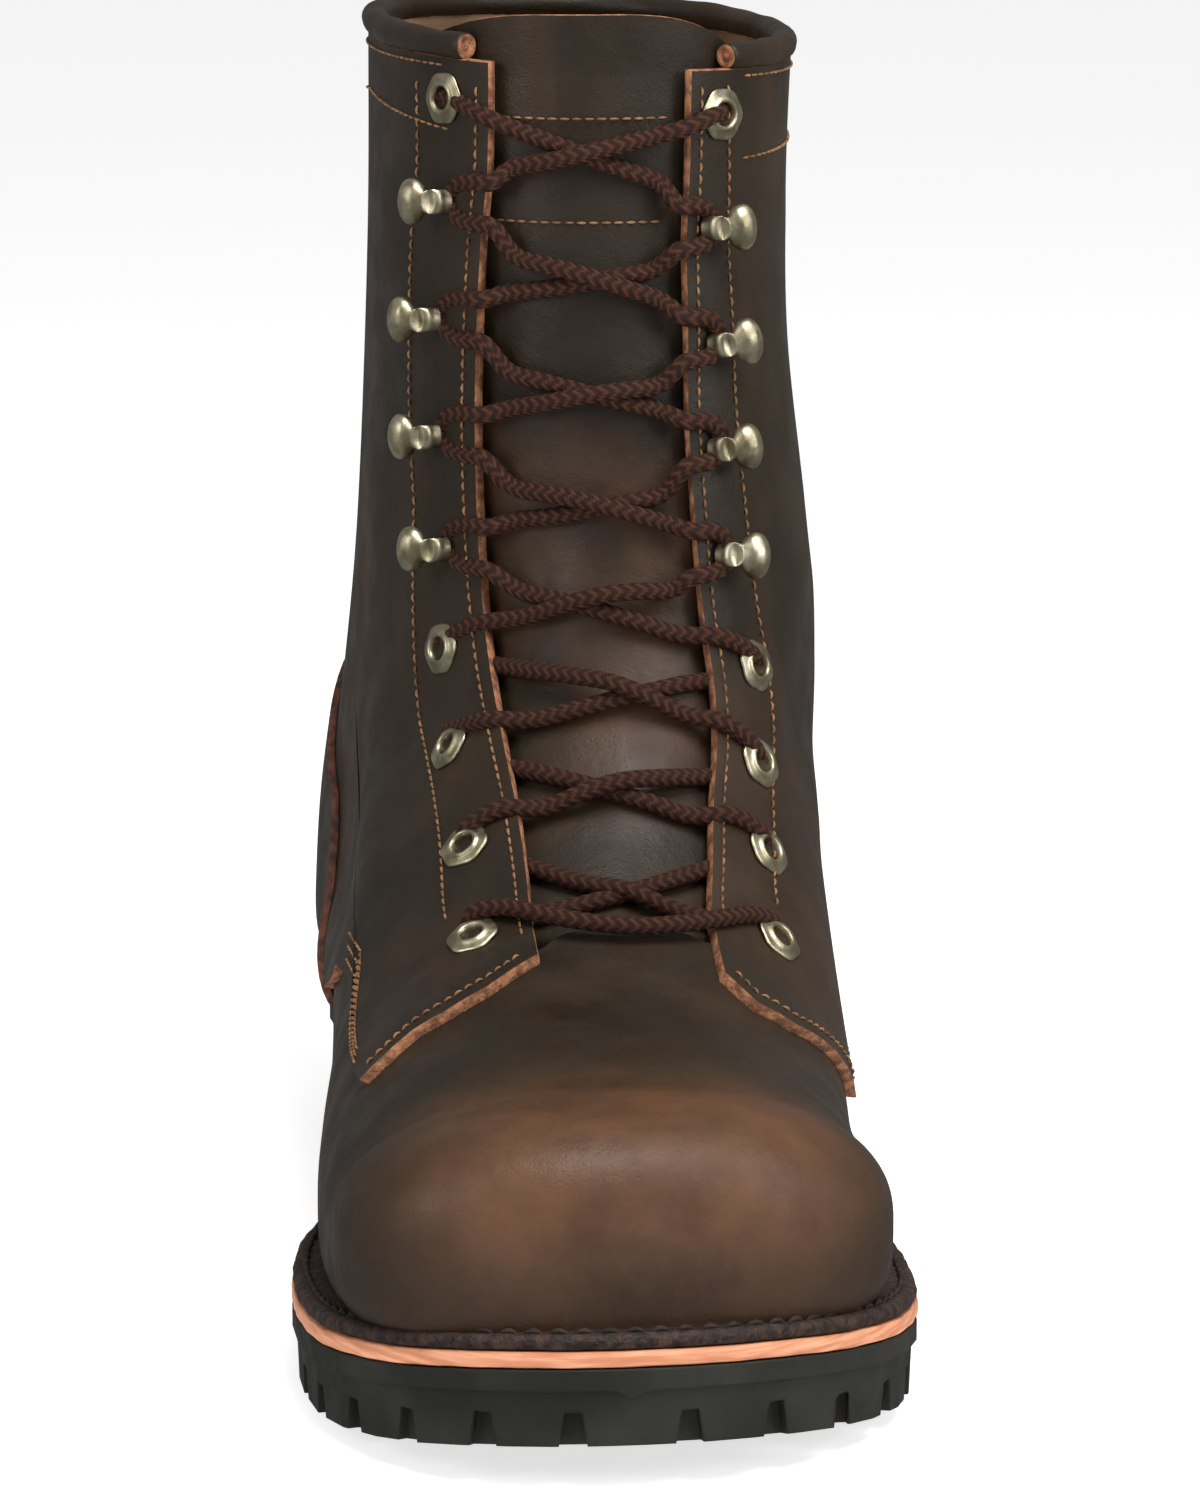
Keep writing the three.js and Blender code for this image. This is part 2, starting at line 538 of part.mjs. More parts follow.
function makeUpper(spots) {
  const openThroat = throatCut(archRows.map((row) => [row.across * halfShaft, row.up * collarHeight]).reverse());
  const footOfFlaps = [[throatRows.at(-1).inner * halfShaft - 1.5, collarHeight * 0.29],
    [0, collarHeight * 0.2], [throatRows.at(-1).outer * halfShaft - 1, collarHeight * 0.28]];
  const quarter = leatherBand(quarterRows, -overlay, quarterCore, quarterSteps)
    .subtract(throatCut(footOfFlaps));
  let body = upperForm(0).add(quarter).subtract(upperForm(wall, 20)).subtract(belowWelt(seam)).subtract(openThroat);
  spots.filter((spot) => spot.kind === 'eyelet').forEach(({ frame }) => {
    const cut = (radius, from) => prism(Array.from({ length: 12 }, (_, j) => [
      radius * Math.cos((j * Math.PI) / 6), radius * Math.sin((j * Math.PI) / 6),
    ]), from, 6, (u, v, depth) => frame.at.clone()
      .addScaledVector(frame.side, u).addScaledVector(frame.up, v).addScaledVector(frame.out, depth).toArray());
    body = body.subtract(cut(eyeletBarrel / 2 + seam + facetSlack, -wall - overlay - 3))
      .subtract(cut(eyeletFlange / 2 + seam + facetSlack, 0));
  });
  return body;
}

// Counter: leather round the heel, lying on the quarter.
function makeCounter(upper) {
  const under = upperForm(-seam - facetSlack)
    .add(leatherBand(quarterRows, -overlay - seam - facetSlack, quarterCore, quarterSteps));
  const skin = upperForm(-overlay * 2 - seam).subtract(under);
  const outline = counterRows.map((row) => {
    const y = heelBack - row.reach * counterReach;
    return [y, weltTop(y) + seam + row.up * counterHeight];
  });
  const side = prism(outline, -ballWidth, ballWidth, (y, z, x) => [x, y, z]);
  return skin.intersect(side).subtract(belowWelt(seam)).subtract(upper);
}

// Tongue: one sheet behind the flaps, from under the vamp to above the collar.
function makeTongue() {
  const gap = wall + seam + 0.05;
  const sheet = upperForm(gap, tongueRise).subtract(upperForm(gap + tongueWall, tongueRise + 10));
  const left = throatRows.map((row) => [row.inner * halfShaft - tongueLap, row.up * collarHeight]);
  const right = throatRows.map((row) => [row.outer * halfShaft + tongueLap * 0.8, row.up * collarHeight]).reverse();
  const foot = [[throatRows.at(-1).inner * halfShaft - tongueLap * 0.6, 40],
    [throatRows.at(-1).outer * halfShaft + tongueLap * 0.4, 40]];
  const cut = prism([...left, ...foot, ...right], along(0.76), along(0.32), (x, z, y) => [x, y, z]);
  return sheet.intersect(cut);
}

const makeInsole = () => upperForm(wall + seam).intersect(belowWelt(seam + insole)).subtract(belowWelt(seam));

// Rolled collar: a cord of leather round the rim, from one flap's edge round the back to the other's.
function makeRoll() {
  const from = (32 * Math.PI) / 180;
  const to = ((360 - 42) * Math.PI) / 180;
  const steps = 28;
  const rings = Array.from({ length: steps + 1 }, (_, i) => {
    const turn = from + ((to - from) * i) / steps;
    const rim = new THREE.Vector3(...upperPoint(1, turn, -0.4));
    const ahead = new THREE.Vector3(...upperPoint(1, turn + 0.02, -0.4)).sub(rim).normalize();
    const out = ahead.clone().cross(new THREE.Vector3(0, 0, 1)).normalize();
    const middle = rim.clone().setZ(rim.z + seam + rollRadius);
    return Array.from({ length: 8 }, (_, j) => {
      const angle = ((j + 0.5) / 8) * Math.PI * 2;
      return middle.clone().addScaledVector(out, rollRadius * Math.cos(angle))
        .setZ(middle.z + rollRadius * Math.sin(angle)).toArray();
    });
  });
  return loft(rings);
}

function makeEyelet(frame) {
  const [bore, barrel, flange] = [eyeletBore / 2, eyeletBarrel / 2, eyeletFlange / 2];
  return turned(frame, [
    [bore, -wall - overlay + seam], [barrel, -wall - overlay + seam], [barrel, seam], [flange, seam],
    [flange - 0.5, seam + 0.6], [(bore + flange) / 2 - 0.4, eyeletHeight], [bore, seam + 0.6],
  ], 12);
}

// Hook: a foot on the leather, a neck that rises beside the throat and bends out, and a domed ball.
function makeHook({ frame, sign }) {
  const rings = [
    [-1.8, seam + 0.5, 3.4, 2.6], [-1.8, 1.4, 3.3, 2.5], [-3.4, 2.2, 3.0, 0.9], [-3.2, hookStand * 0.62, 2.2, 0.8],
    [-1.6, hookStand - 0.7, hookNeck / 2, 1.0], [0.4, hookStand, hookBall * 0.42, 1.7],
    [2.6, hookStand, hookBall / 2, 2.2], [4.6, hookStand - 0.1, hookBall * 0.43, 1.8], [6.0, hookStand - 0.3, hookBall * 0.2, 0.8],
  ];
  const away = frame.side.clone().multiplyScalar(Math.sign(frame.side.x) * sign);
  const loops = rings.map(([off, height, halfUp, halfDeep], index) => Array.from({ length: 6 }, (_, j) => {
    const angle = ((j + 0.5) / 6) * Math.PI * 2;
    const deep = index < 3 ? away : frame.out;
    return frame.at.clone().addScaledVector(away, off).addScaledVector(frame.out, height)
      .addScaledVector(frame.up, halfUp * Math.cos(angle)).addScaledVector(deep, halfDeep * Math.sin(angle)).toArray();
  }));
  const links = [[0, 1, 2], [1, 2, 3], [2, 3, 4], [3, 4, 5], [4, 5, 6, 7, 8]];
  return links.map((link) => wasm.Manifold.hull(link.flatMap((index) => loops[index])))
    .reduce((whole, link) => whole.add(link));
}

// Lace: a round cord through points given as [x, z, inset] seen from the front.
function cord(points) {
  const curve = new THREE.CatmullRomCurve3(points.map(([x, z, inset]) => {
    const frame = frontFrame(x, z, inset);
    return frame.at;
  }), false, 'centripetal');
  const steps = 7;
  const rings = Array.from({ length: steps + 1 }, (_, i) => {
    const at = curve.getPoint(i / steps);
    const flow = curve.getTangent(i / steps);
    const up = new THREE.Vector3(0, 0, 1).addScaledVector(flow, -flow.z).normalize();
    const out = flow.clone().cross(up);
    return Array.from({ length: 8 }, (_, j) => {
      const angle = (j / 8) * Math.PI * 2;
      return at.clone().addScaledVector(up, (laceDiameter / 2) * Math.cos(angle))
        .addScaledVector(out, (laceDiameter / 2) * Math.sin(angle)).toArray();
    });
  });
  return loft(rings);
}

const laceOn = -(overlay + laceDiameter / 2 + 1.3);   // middle of the lace where it lies on a flap
const laceLow = 0.5 - laceDiameter / 4;               // where it lies just over the tongue
const flapEdge = (z, side) => {
  const rows = throatRows.slice().reverse().map((row) => ({ ...row, at: row.up }));
  return column(rows, side, z / collarHeight, 'at') * halfShaft;
};

// One run of lace from a station to the next one up on the other side.
function laceRun(from, to, underTo, underFrom, lift) {
  const at = (share) => [from.x + (to.x - from.x) * share, from.z + (to.z - from.z) * share];
  const width = Math.abs(to.x - from.x);
  const clear = (spot) => (spot.kind === 'eyelet' ? eyeletFlange / 2 + laceDiameter / 2 + 0.4 : 7.2) / width;
  const edgeShare = (spot, back) => Math.abs(flapEdge(spot.z, spot.side) - (back ? to : from).x) / width;
  const start = underFrom ? 1 - edgeShare(from, true) + 4.2 / width : clear(from);
  const end = underTo ? edgeShare(to, false) - 4.2 / width : 1 - clear(to);
  const first = underFrom ? laceLow : laceOn;
  const last = underTo ? laceLow : laceOn;
  const middle = (start + end) / 2;
  const low = laceLow - lift;
  return cord([
    [...at(start), first], [...at(start + (middle - start) * 0.45), underFrom ? low : (first + low) / 2 - 0.9],
    [...at(middle), low],
    [...at(end - (end - middle) * 0.45), underTo ? low : (last + low) / 2 - 0.9], [...at(end), last],
  ]);
}

function makeLaces(spots) {
  const find = (index, side) => spots.find((spot) => spot.index === index && spot.side === side);
  const bodies = [];
  for (let index = stationRows.length - 1; index > 0; index -= 1) {
    const lowest = index === stationRows.length - 1;
    const under = stationRows[index - 1].kind === 'eyelet' && index - 1 > 0;
    const one = laceRun(find(index, 'inner'), find(index - 1, 'outer'), under, lowest, 0);
    const other = laceRun(find(index, 'outer'), find(index - 1, 'inner'), under, lowest, laceDiameter - 0.7);
    bodies.push({ name: `lace_cross_${stationRows.length - index}`, body: one.add(other) });
  }
  return bodies;
}

function laceBar(spots) {
  const [a, b] = spots.filter((spot) => spot.index === stationRows.length - 1);
  const width = b.x - a.x;
  const share = (eyeletFlange / 2 + laceDiameter / 2 + 0.4) / width;
  const at = (s) => [a.x + width * s, a.z + (b.z - a.z) * s + barLift];
  const low = laceLow - 2 * laceDiameter;
  return cord([[...at(share), laceOn], [...at(0.33), (laceOn + low) / 2], [...at(0.5), low],
    [...at(0.67), (laceOn + low) / 2], [...at(1 - share), laceOn]]);
}

const spots = stations();
const model = new THREE.Group();
const colours = { leather: 0x3c3026, rubber: 0x33332d, edge: 0xcd875f, welt: 0x3a2a22, lace: 0x46291f, metal: 0xa59b78 };
model.add(mesh('outsole', makeOutsole(), colours.rubber, 0.8));
model.add(mesh('heel', makeHeel(), colours.rubber, 0.8));
model.add(mesh('midsole', makeMidsole(), colours.edge, 0.7));
model.add(mesh('welt', makeWelt(), colours.welt, 0.8));
model.add(mesh('insole', makeInsole(), colours.edge, 0.8));
const upper = makeUpper(spots);
model.add(mesh('upper', upper, colours.leather, 0.6));
model.add(mesh('counter', makeCounter(upper), colours.leather, 0.6));
model.add(mesh('tongue', makeTongue(), colours.leather, 0.6));
model.add(mesh('collar_roll', makeRoll(), colours.leather, 0.55));
spots.forEach((spot) => {
  const body = spot.kind === 'eyelet' ? makeEyelet(spot.frame) : makeHook(spot);
  model.add(mesh(`${spot.kind}_${spot.side}_${spot.index + 1}`, body, colours.metal, 0.35, 1));
});
model.add(mesh('lace_bar', laceBar(spots), colours.lace, 0.9));
makeLaces(spots).forEach(({ name, body }) => model.add(mesh(name, body, colours.lace, 0.9)));
export { upperPoint };
export default model;
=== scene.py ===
import bpy
import math
import numpy as np
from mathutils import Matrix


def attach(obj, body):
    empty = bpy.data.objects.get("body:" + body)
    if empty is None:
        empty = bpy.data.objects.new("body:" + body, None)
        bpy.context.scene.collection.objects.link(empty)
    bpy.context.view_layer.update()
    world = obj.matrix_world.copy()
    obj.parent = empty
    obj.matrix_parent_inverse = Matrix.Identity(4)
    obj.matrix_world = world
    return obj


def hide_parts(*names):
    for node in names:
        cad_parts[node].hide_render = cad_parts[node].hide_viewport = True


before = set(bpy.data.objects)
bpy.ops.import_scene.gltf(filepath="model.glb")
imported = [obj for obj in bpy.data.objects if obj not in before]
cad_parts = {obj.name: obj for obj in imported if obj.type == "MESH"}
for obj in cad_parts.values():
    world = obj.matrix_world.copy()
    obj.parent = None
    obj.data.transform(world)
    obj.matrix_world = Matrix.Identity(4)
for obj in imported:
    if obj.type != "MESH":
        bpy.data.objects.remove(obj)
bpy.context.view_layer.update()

# Outsole and heel: two blocks of black-olive rubber, moulded with lugs that show as notches in the
# edge, glued and stitched under the midsole. The CAD bodies are shown, with their edges rounded in the
# material, dust and fine pits.
sole_length, heel_back, ball_width, shaft_width, collar_height = 312.0, 40.0, 118.0, 90.0, 240.0
rubber, heel_rise, toe_spring, midsole, welt, seam = 14.5, 15.0, 9.0, 3.0, 3.0, 0.3


def node(tree, kind, **given):
    """New shader node with its sockets set or linked by name."""
    made = tree.nodes.new(kind)
    for key, value in given.items():
        if hasattr(made, key) and key not in made.inputs:
            setattr(made, key, value)
        else:
            name = key.replace("_", " ")
            numbered = key[0] == "i" and key[1:].isdigit()
            socket = made.inputs[int(key[1:]) if numbered else name]
            if isinstance(value, bpy.types.NodeSocket):
                tree.links.new(value, socket)
            else:
                socket.default_value = value
    return made


def noise(tree, place, scale, detail=3.0, rough=0.5):
    """Soft noise at a number of patches to the metre, from 0 to 1."""
    made = node(tree, "ShaderNodeTexNoise", Vector=place, Scale=scale, Detail=detail, Roughness=rough)
    return made.outputs["Fac"]


def ramp(tree, value, low, high, to_low=0.0, to_high=1.0):
    """Value carried smoothly from one range to another."""
    made = node(tree, "ShaderNodeMapRange", i0=value, i1=low, i2=high, i3=to_low, i4=to_high)
    made.interpolation_type = "SMOOTHSTEP"
    return made.outputs[0]


def blend(tree, mask, one, other):
    """Colour one where the mask is 0 and the other where it is 1."""
    made = tree.nodes.new("ShaderNodeMix")
    made.data_type = "RGBA"
    for socket, value in ((made.inputs[0], mask), (made.inputs[6], one), (made.inputs[7], other)):
        if isinstance(value, bpy.types.NodeSocket):
            tree.links.new(value, socket)
        else:
            socket.default_value = value
    return made.outputs[2]


def sums(tree, kind, one, other=0.0):
    """Sum, product or another simple combination of two values."""
    return node(tree, "ShaderNodeMath", operation=kind, i0=one, i1=other).outputs[0]


def colour(red, green, blue):
    """Linear colour of an sRGB one given from 0 to 255: a power of 2.4, a straight line if very dark."""
    parts = [v / 255 for v in (red, green, blue)]
    return (*[v / 12.92 if v < 0.0404 else ((v + 0.055) / 1.055) ** 2.4 for v in parts], 1.0)


def material(name):
    """Empty material with its Principled shader and Object coordinates."""
    made = bpy.data.materials.new(name)
    made.use_nodes = True
    tree = made.node_tree
    place = tree.nodes.new("ShaderNodeTexCoord").outputs["Object"]
    return made, tree, tree.nodes["Principled BSDF"], place


def bump(tree, height, strength, distance, normal=None):
    """Normal of a surface with these heights."""
    made = node(tree, "ShaderNodeBump", Height=height, Strength=strength, Distance=distance)
    if normal is not None:
        tree.links.new(normal, made.inputs["Normal"])
    return made.outputs["Normal"]


rubber_look, tree, shader, place = material("sole rubber")
patches = ramp(tree, noise(tree, place, 40, 4), 0.35, 0.7)
tree.links.new(blend(tree, patches, colour(32, 32, 27), colour(46, 46, 39)), shader.inputs["Base Color"])
tree.links.new(ramp(tree, noise(tree, place, 150), 0.3, 0.7, 0.5, 0.68), shader.inputs["Roughness"])
shader.inputs["Specular IOR Level"].default_value = 0.4
rounded = node(tree, "ShaderNodeBevel", Radius=0.0008, samples=6).outputs[0]
tree.links.new(bump(tree, noise(tree, place, 1400, 3), 0.25, 0.0004, rounded), shader.inputs["Normal"])
for name in ("outsole", "heel"):
    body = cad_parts[name]
    body.data.materials.clear()
    body.data.materials.append(rubber_look)


def through(values, spots, at):
    """Smooth curve through values at spots. Between two of them it is a cubic whose end slopes are
    those of the lines through the neighbours on both sides."""
    values, spots = np.asarray(values, float), np.asarray(spots, float)
    at = np.clip(at, spots[0], spots[-1])
    i = np.clip(np.searchsorted(spots, at, side="right") - 1, 0, len(spots) - 2)
    v = np.concatenate([values[:1], values, values[-1:]])
    p = np.concatenate([[2 * spots[0] - spots[1]], spots, [2 * spots[-1] - spots[-2]]])
    slope = (v[2:] - v[:-2]) / (p[2:] - p[:-2])
    span = spots[i + 1] - spots[i]
    s = (at - spots[i]) / span
    a, b, da, db = values[i], values[i + 1], slope[i] * span, slope[i + 1] * span
    return (a * (2 * s**3 - 3 * s**2 + 1) + da * (s**3 - 2 * s**2 + s)
            + b * (3 * s**2 - 2 * s**3) + db * (s**3 - s**2))


bed_at = [0, 0.12, 0.24, 0.34, 0.44, 0.53, 0.60, 0.65, 0.73, 0.80, 0.87, 0.94, 1.0]
bed_rise = [1, 0.99, 0.94, 0.80, 0.54, 0.24, 0.05, 0, 0, 0, 0, 0, 0]
bed_spring = [0, 0, 0, 0, 0, 0, 0, 0, 0, 0.10, 0.33, 0.66, 1.0]


def rubber_top(y):
    """Height of the rubber's top: its thickness, the heel's rise and the toe's spring at that length."""
    at = np.clip((heel_back - y) / sole_length, 0, 1)
    return (rubber + heel_rise * np.maximum(through(bed_rise, bed_at, at), 0)
            + toe_spring * np.maximum(through(bed_spring, bed_at, at), 0))


def welt_top(y):
    """Height of the plane that the upper stands on."""
    return rubber_top(y) + midsole + welt + 2 * seam


edge_at = [0, 0.13, 0.25, 0.36, 0.46, 0.56, 0.65, 0.73, 0.81, 0.90, 1.0]
edge_half = [0.61, 0.615, 0.585, 0.57, 0.63, 0.80, 0.95, 1.00, 0.99, 0.97, 0.94]
edge_middle = [0.01, 0, 0.02, 0.06, 0.08, 0.06, 0.02, 0, -0.01, -0.03, -0.07]


def sole_edge(turn, inset):
    """Point of the sole's edge. Turn 0 to 1 runs heel to toe on the outer side and back on the inner one;
    heel and toe are rounded as parts of superellipses of power 2.3 and 2.35."""
    side = np.where(turn < 0.5, 1.0, -1.0)
    at = np.where(turn < 0.5, 2 * turn, 2 - 2 * turn)
    heel, toe = 0.13, 0.22
    a = np.clip(at / heel, 0, 1) * math.pi / 2
    b = np.clip((at - 1 + toe) / toe, 0, 1) * math.pi / 2
    narrow = np.where(at < heel, np.sin(a) ** (2 / 2.3), np.maximum(np.cos(b), 1e-9) ** (2 / 2.35))
    long = np.where(at < heel, heel * (1 - np.cos(a)), at)
    long = np.where(at > 1 - toe, 1 - toe + toe * np.sin(b) ** (2 / 2.35), long)
    half = through(edge_half, edge_at, long) * ball_width / 2 - inset
    middle = through(edge_middle, edge_at, long) * ball_width / 2
    return middle + side * half * narrow, heel_back - inset - long * (sole_length - 2 * inset)


def show(name, points, faces, looks, node_names=(), second=None, sharp=None, groove_shade_values=None):
    """Object from points in millimetres and faces, with its looks, riding on the boot."""
    name = name.replace(" ", "_")
    data = bpy.data.meshes.new(name)
    data.from_pydata((np.asarray(points) * 0.001).tolist(), [], [list(map(int, f)) for f in faces])
    for look in looks:
        data.materials.append(look)
    data.polygons.foreach_set("use_smooth", [True] * len(data.polygons))
    if second is not None:
        data.polygons.foreach_set("material_index", np.asarray(second, np.int32))
    if sharp is not None:
        ends = np.zeros(len(data.edges) * 2, np.int32)
        data.edges.foreach_get("vertices", ends)
        ends = ends.reshape(-1, 2)
        made = data.attributes.new("sharp_edge", "BOOLEAN", "EDGE")
        made.data.foreach_set("value", sharp[ends[:, 0]] & sharp[ends[:, 1]])
    # Point attribute of painted shade: the lace uses it to colour its braid's grooves darker.
    if groove_shade_values is not None:
        made = data.attributes.new("braid_groove_shade", "FLOAT", "POINT")
        made.data.foreach_set("value", np.asarray(groove_shade_values, np.float32))
    data.update()
    made = bpy.data.objects.new(name, data)
    bpy.context.scene.collection.objects.link(made)
    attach(made, "root")
    if node_names:
        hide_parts(*node_names)
    return made


def tube_faces(rings, sides, closed):
    """Quads between rings of points that follow each other, and between the last and first if closed."""
    i, j = np.meshgrid(np.arange(rings if closed else rings - 1), np.arange(sides), indexing="ij")
    i, j = i.ravel(), j.ravel()
    n, k = (i + 1) % rings, (j + 1) % sides
    return np.stack([i * sides + j, i * sides + k, n * sides + k, n * sides + j], 1)


def outward(points, faces):
    """Faces turned so that the closed body they bound has a positive volume."""
    p = np.asarray(points)[np.asarray(faces)[:, :3]]
    rest = np.asarray(points)[np.asarray(faces)[:, [0, 2, 3]]]
    volume = sum(np.einsum("ij,ij->i", q[:, 0], np.cross(q[:, 1], q[:, 2])).sum() for q in (p, rest))
    return faces if volume > 0 else faces[:, ::-1]


def capped(rings):
    """Closed body from rings of points that follow each other, with a flat face over each end."""
    count, sides = rings.shape[:2]
    points, quads = rings.reshape(-1, 3), tube_faces(count, sides, False)
    faces = outward(points, quads)
    caps = [list(range(sides)), list(range(len(points) - sides, len(points)))[::-1]]
    if (faces[0] == quads[0]).all():
        caps = [cap[::-1] for cap in caps]
    return points, faces.tolist() + caps


def band(name, reference, section, looks, node_name, ripple):
    """Strip round the sole: each corner of its section has an inset from the edge and a height over the
    reference surface; the ripple wavers the outer corners a little, as a trimmed edge does."""
    turns = np.linspace(0, 1, 721)[:-1]
    rings = []
    for inset, height in section:
        waves = np.sin(turns * 2 * math.pi * 37) + np.sin(turns * 2 * math.pi * 91 + 1)
        waver = ripple * waves * (inset < 2)
        x, y = sole_edge(turns, inset + waver)
        rings.append(np.stack([x, y, reference(y) + height], 1))
    points = np.stack(rings, 1).reshape(-1, 3)
    faces = outward(points, tube_faces(len(turns), len(section), True))
    return show(name, points, faces, looks, (node_name,))


# Midsole: one layer of orange-tan leather between rubber and welt, cut flush with the rubber's edge.
# Its raw edge is sanded and waxed, a little uneven in colour, with fine layers along it.
edge_look, tree, shader, place = material("midsole leather edge")
stretch = node(tree, "ShaderNodeMapping", Vector=place, Scale=(1, 1, 14)).outputs[0]
tree.links.new(blend(tree, ramp(tree, noise(tree, stretch, 90, 5), 0.32, 0.7), colour(206, 130, 92),
                     colour(238, 170, 130)), shader.inputs["Base Color"])
shader.inputs["Roughness"].default_value = 0.5
tree.links.new(bump(tree, noise(tree, stretch, 300, 4), 0.3, 0.0003), shader.inputs["Normal"])
band("midsole edge", rubber_top, [(12, seam), (0.5, seam), (0.1, seam + 0.35), (0, seam + 1.5),
     (0.1, seam + midsole - 0.35), (0.5, seam + midsole), (12, seam + midsole)], [edge_look], "midsole",
     0.08)

# Welt: a strip of dark leather round the edge, stitched through to the sole with thick thread. It is
# rough from its channel, and its edge is rounded and dyed dark.
welt_look, tree, shader, place = material("welt leather")
tree.links.new(blend(tree, ramp(tree, noise(tree, place, 500, 5), 0.35, 0.7), colour(30, 19, 14),
                     colour(70, 46, 34)), shader.inputs["Base Color"])
shader.inputs["Roughness"].default_value = 0.62
tree.links.new(bump(tree, noise(tree, place, 1100, 5), 0.7, 0.0009), shader.inputs["Normal"])
welt_low = midsole + 2 * seam
welt_section = [(15, 0), (0.8, 0), (0.35, 0.4), (0.25, 1.4), (0.6, 2.4), (1.6, 2.9), (3.2, 2.7), (4.6, 2.9),
                (6, welt), (15, welt)]
band("welt strip", rubber_top, [(inset, welt_low + up) for inset, up in welt_section], [welt_look], "welt",
     0.1)
thread_look, tree, shader, place = material("thread")
tree.links.new(blend(tree, ramp(tree, noise(tree, place, 300, 2), 0.3, 0.7), colour(104, 72, 44),
                     colour(156, 114, 74)), shader.inputs["Base Color"])
shader.inputs["Roughness"].default_value = 0.7
dark_thread, tree, shader, place = material("welt thread")
tree.links.new(blend(tree, ramp(tree, noise(tree, place, 400, 3), 0.35, 0.65), colour(26, 18, 14),
                     colour(56, 38, 30)), shader.inputs["Base Color"])
shader.inputs["Roughness"].default_value = 0.8


def stitches(name, runs, pitch, length, radius, look):
    """Row of stitches: along each run of points and normals, every pitch, an oval bead of thread that is
    highest in its middle and sinks into the leather at its ends."""
    points, faces, count = [], [], 0
    turns = np.linspace(0, 2 * math.pi, 8)[:-1]
    for path, normal in runs:
        gone = np.concatenate([[0], np.cumsum(np.linalg.norm(np.diff(path, axis=0), axis=1))])
        for start in np.arange(pitch / 2, gone[-1] - pitch / 2, pitch):
            rings = []
            for share in (-1, -0.92, -0.6, -0.2, 0.2, 0.6, 0.92, 1):
                at = start + share * length / 2
                spot = np.array([np.interp(at, gone, path[:, k]) for k in range(3)])
                up = np.array([np.interp(at, gone, normal[:, k]) for k in range(3)])
                ahead = np.array([np.interp(at + 0.3, gone, path[:, k]) for k in range(3)]) - spot
                ahead /= np.linalg.norm(ahead) + 1e-9
                up = up - ahead * (up @ ahead)
                up /= np.linalg.norm(up) + 1e-9
                across = np.cross(ahead, up)
                thick = radius * math.sqrt(max(1 - share**2, 0.02))
                lift = radius * (0.75 - 1.1 * share**2)
                rings.append([spot + up * (lift + thick * math.sin(t)) + across * thick * math.cos(t)
                              for t in turns])
            points += [p for ring in rings for p in ring]
            quads = tube_faces(len(rings), len(turns), False) + count
            faces += [list(q)[::-1] for q in quads]
            faces += [list(range(count, count + len(turns))),
                      list(range(count + 7 * len(turns), count + 8 * len(turns)))[::-1]]
            count += len(rings) * len(turns)
    return show(name, np.array(points), faces, [look])


turns = np.linspace(0.12, 0.88, 900)
x, y = sole_edge(turns, 2.9)
welt_run = np.stack([x, y, welt_top(y) - 0.25], 1)
upright = np.tile([0, 0, 1.0], (len(turns), 1))
stitches("welt stitching", [(welt_run, upright)], pitch=4.6, length=3.9, radius=0.62, look=dark_thread)

# Insole: plain tan leather, cut flat and laid in the boot under the foot, inside the upper's lower edge.
# The CAD body is shown, with the look of the flesh side.
inner_look, tree, shader, place = material("plain leather inside")
tree.links.new(blend(tree, ramp(tree, noise(tree, place, 60, 5), 0.3, 0.7), colour(112, 84, 60),
                     colour(150, 116, 84)), shader.inputs["Base Color"])
shader.inputs["Roughness"].default_value = 0.85
tree.links.new(bump(tree, noise(tree, place, 900, 4), 0.4, 0.0005), shader.inputs["Normal"])
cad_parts["insole"].data.materials.clear()
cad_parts["insole"].data.materials.append(inner_look)

# Upper: vamp and quarters of oiled dark brown leather, drawn over a last with a hard toe cap inside.
# Rubbed places are redder and lighter, most of all the toe; raw cut edges stay orange-brown.
last_names = ["frontAt", "frontUp", "backAt", "backUp", "ball", "shaft", "wide", "round", "heel", "shift",
              "backShift", "lean"]
last_rows = np.array([
    [0.853, 0.190, 0.853, -0.030, 0.885, 0, 0.41, 2.30, 4.0, -0.040, -0.040, 0.0],
    [0.775, 0.213, 0.768, -0.030, 0.885, 0, 0.36, 2.25, 4.0, -0.040, -0.040, 0.0],
    [0.700, 0.234, 0.680, -0.030, 0.885, 0, 0.33, 2.15, 4.0, -0.010, -0.010, 0.0],
    [0.630, 0.266, 0.580, -0.030, 0.880, 0, 0.33, 2.05, 3.8, 0.060, 0.030, 0.1],
    [0.572, 0.316, 0.465, -0.030, 0.845, 0, 0.38, 2.00, 3.6, 0.150, 0.050, 0.2],
    [0.531, 0.370, 0.335, -0.030, 0.815, 0, 0.44, 2.00, 3.5, 0.220, 0.050, 0.3],
    [0.502, 0.424, 0.195, -0.030, 0.785, 0, 0.48, 2.05, 3.4, 0.280, 0.050, 0.4],
    [0.481, 0.479, 0.070, -0.030, 0, 1.000, 0.50, 2.10, 3.2, 0.320, 0.050, 0.5],
    [0.467, 0.539, 0.024, 0.074, 0, 1.000, 0.50, 2.15, 2.9, 0.340, 0.080, 0.6],
    [0.457, 0.607, 0.028, 0.210, 0, 0.990, 0.50, 2.20, 2.5, 0.340, 0.130, 0.7],
    [0.448, 0.691, 0.040, 0.370, 0, 0.960, 0.50, 2.25, 2.3, 0.310, 0.170, 0.8],
    [0.440, 0.795, 0.048, 0.585, 0, 0.930, 0.50, 2.30, 2.2, 0.260, 0.210, 0.9],
    [0.433, 0.898, 0.048, 0.795, 0, 0.915, 0.50, 2.30, 2.2, 0.245, 0.235, 1.0],
    [0.427, 1.000, 0.042, 1.005, 0, 0.920, 0.50, 2.30, 2.2, 0.250, 0.250, 1.1]])
toe_share, toe_zone, toe_bulge = 0.2, 40.0, 15.0
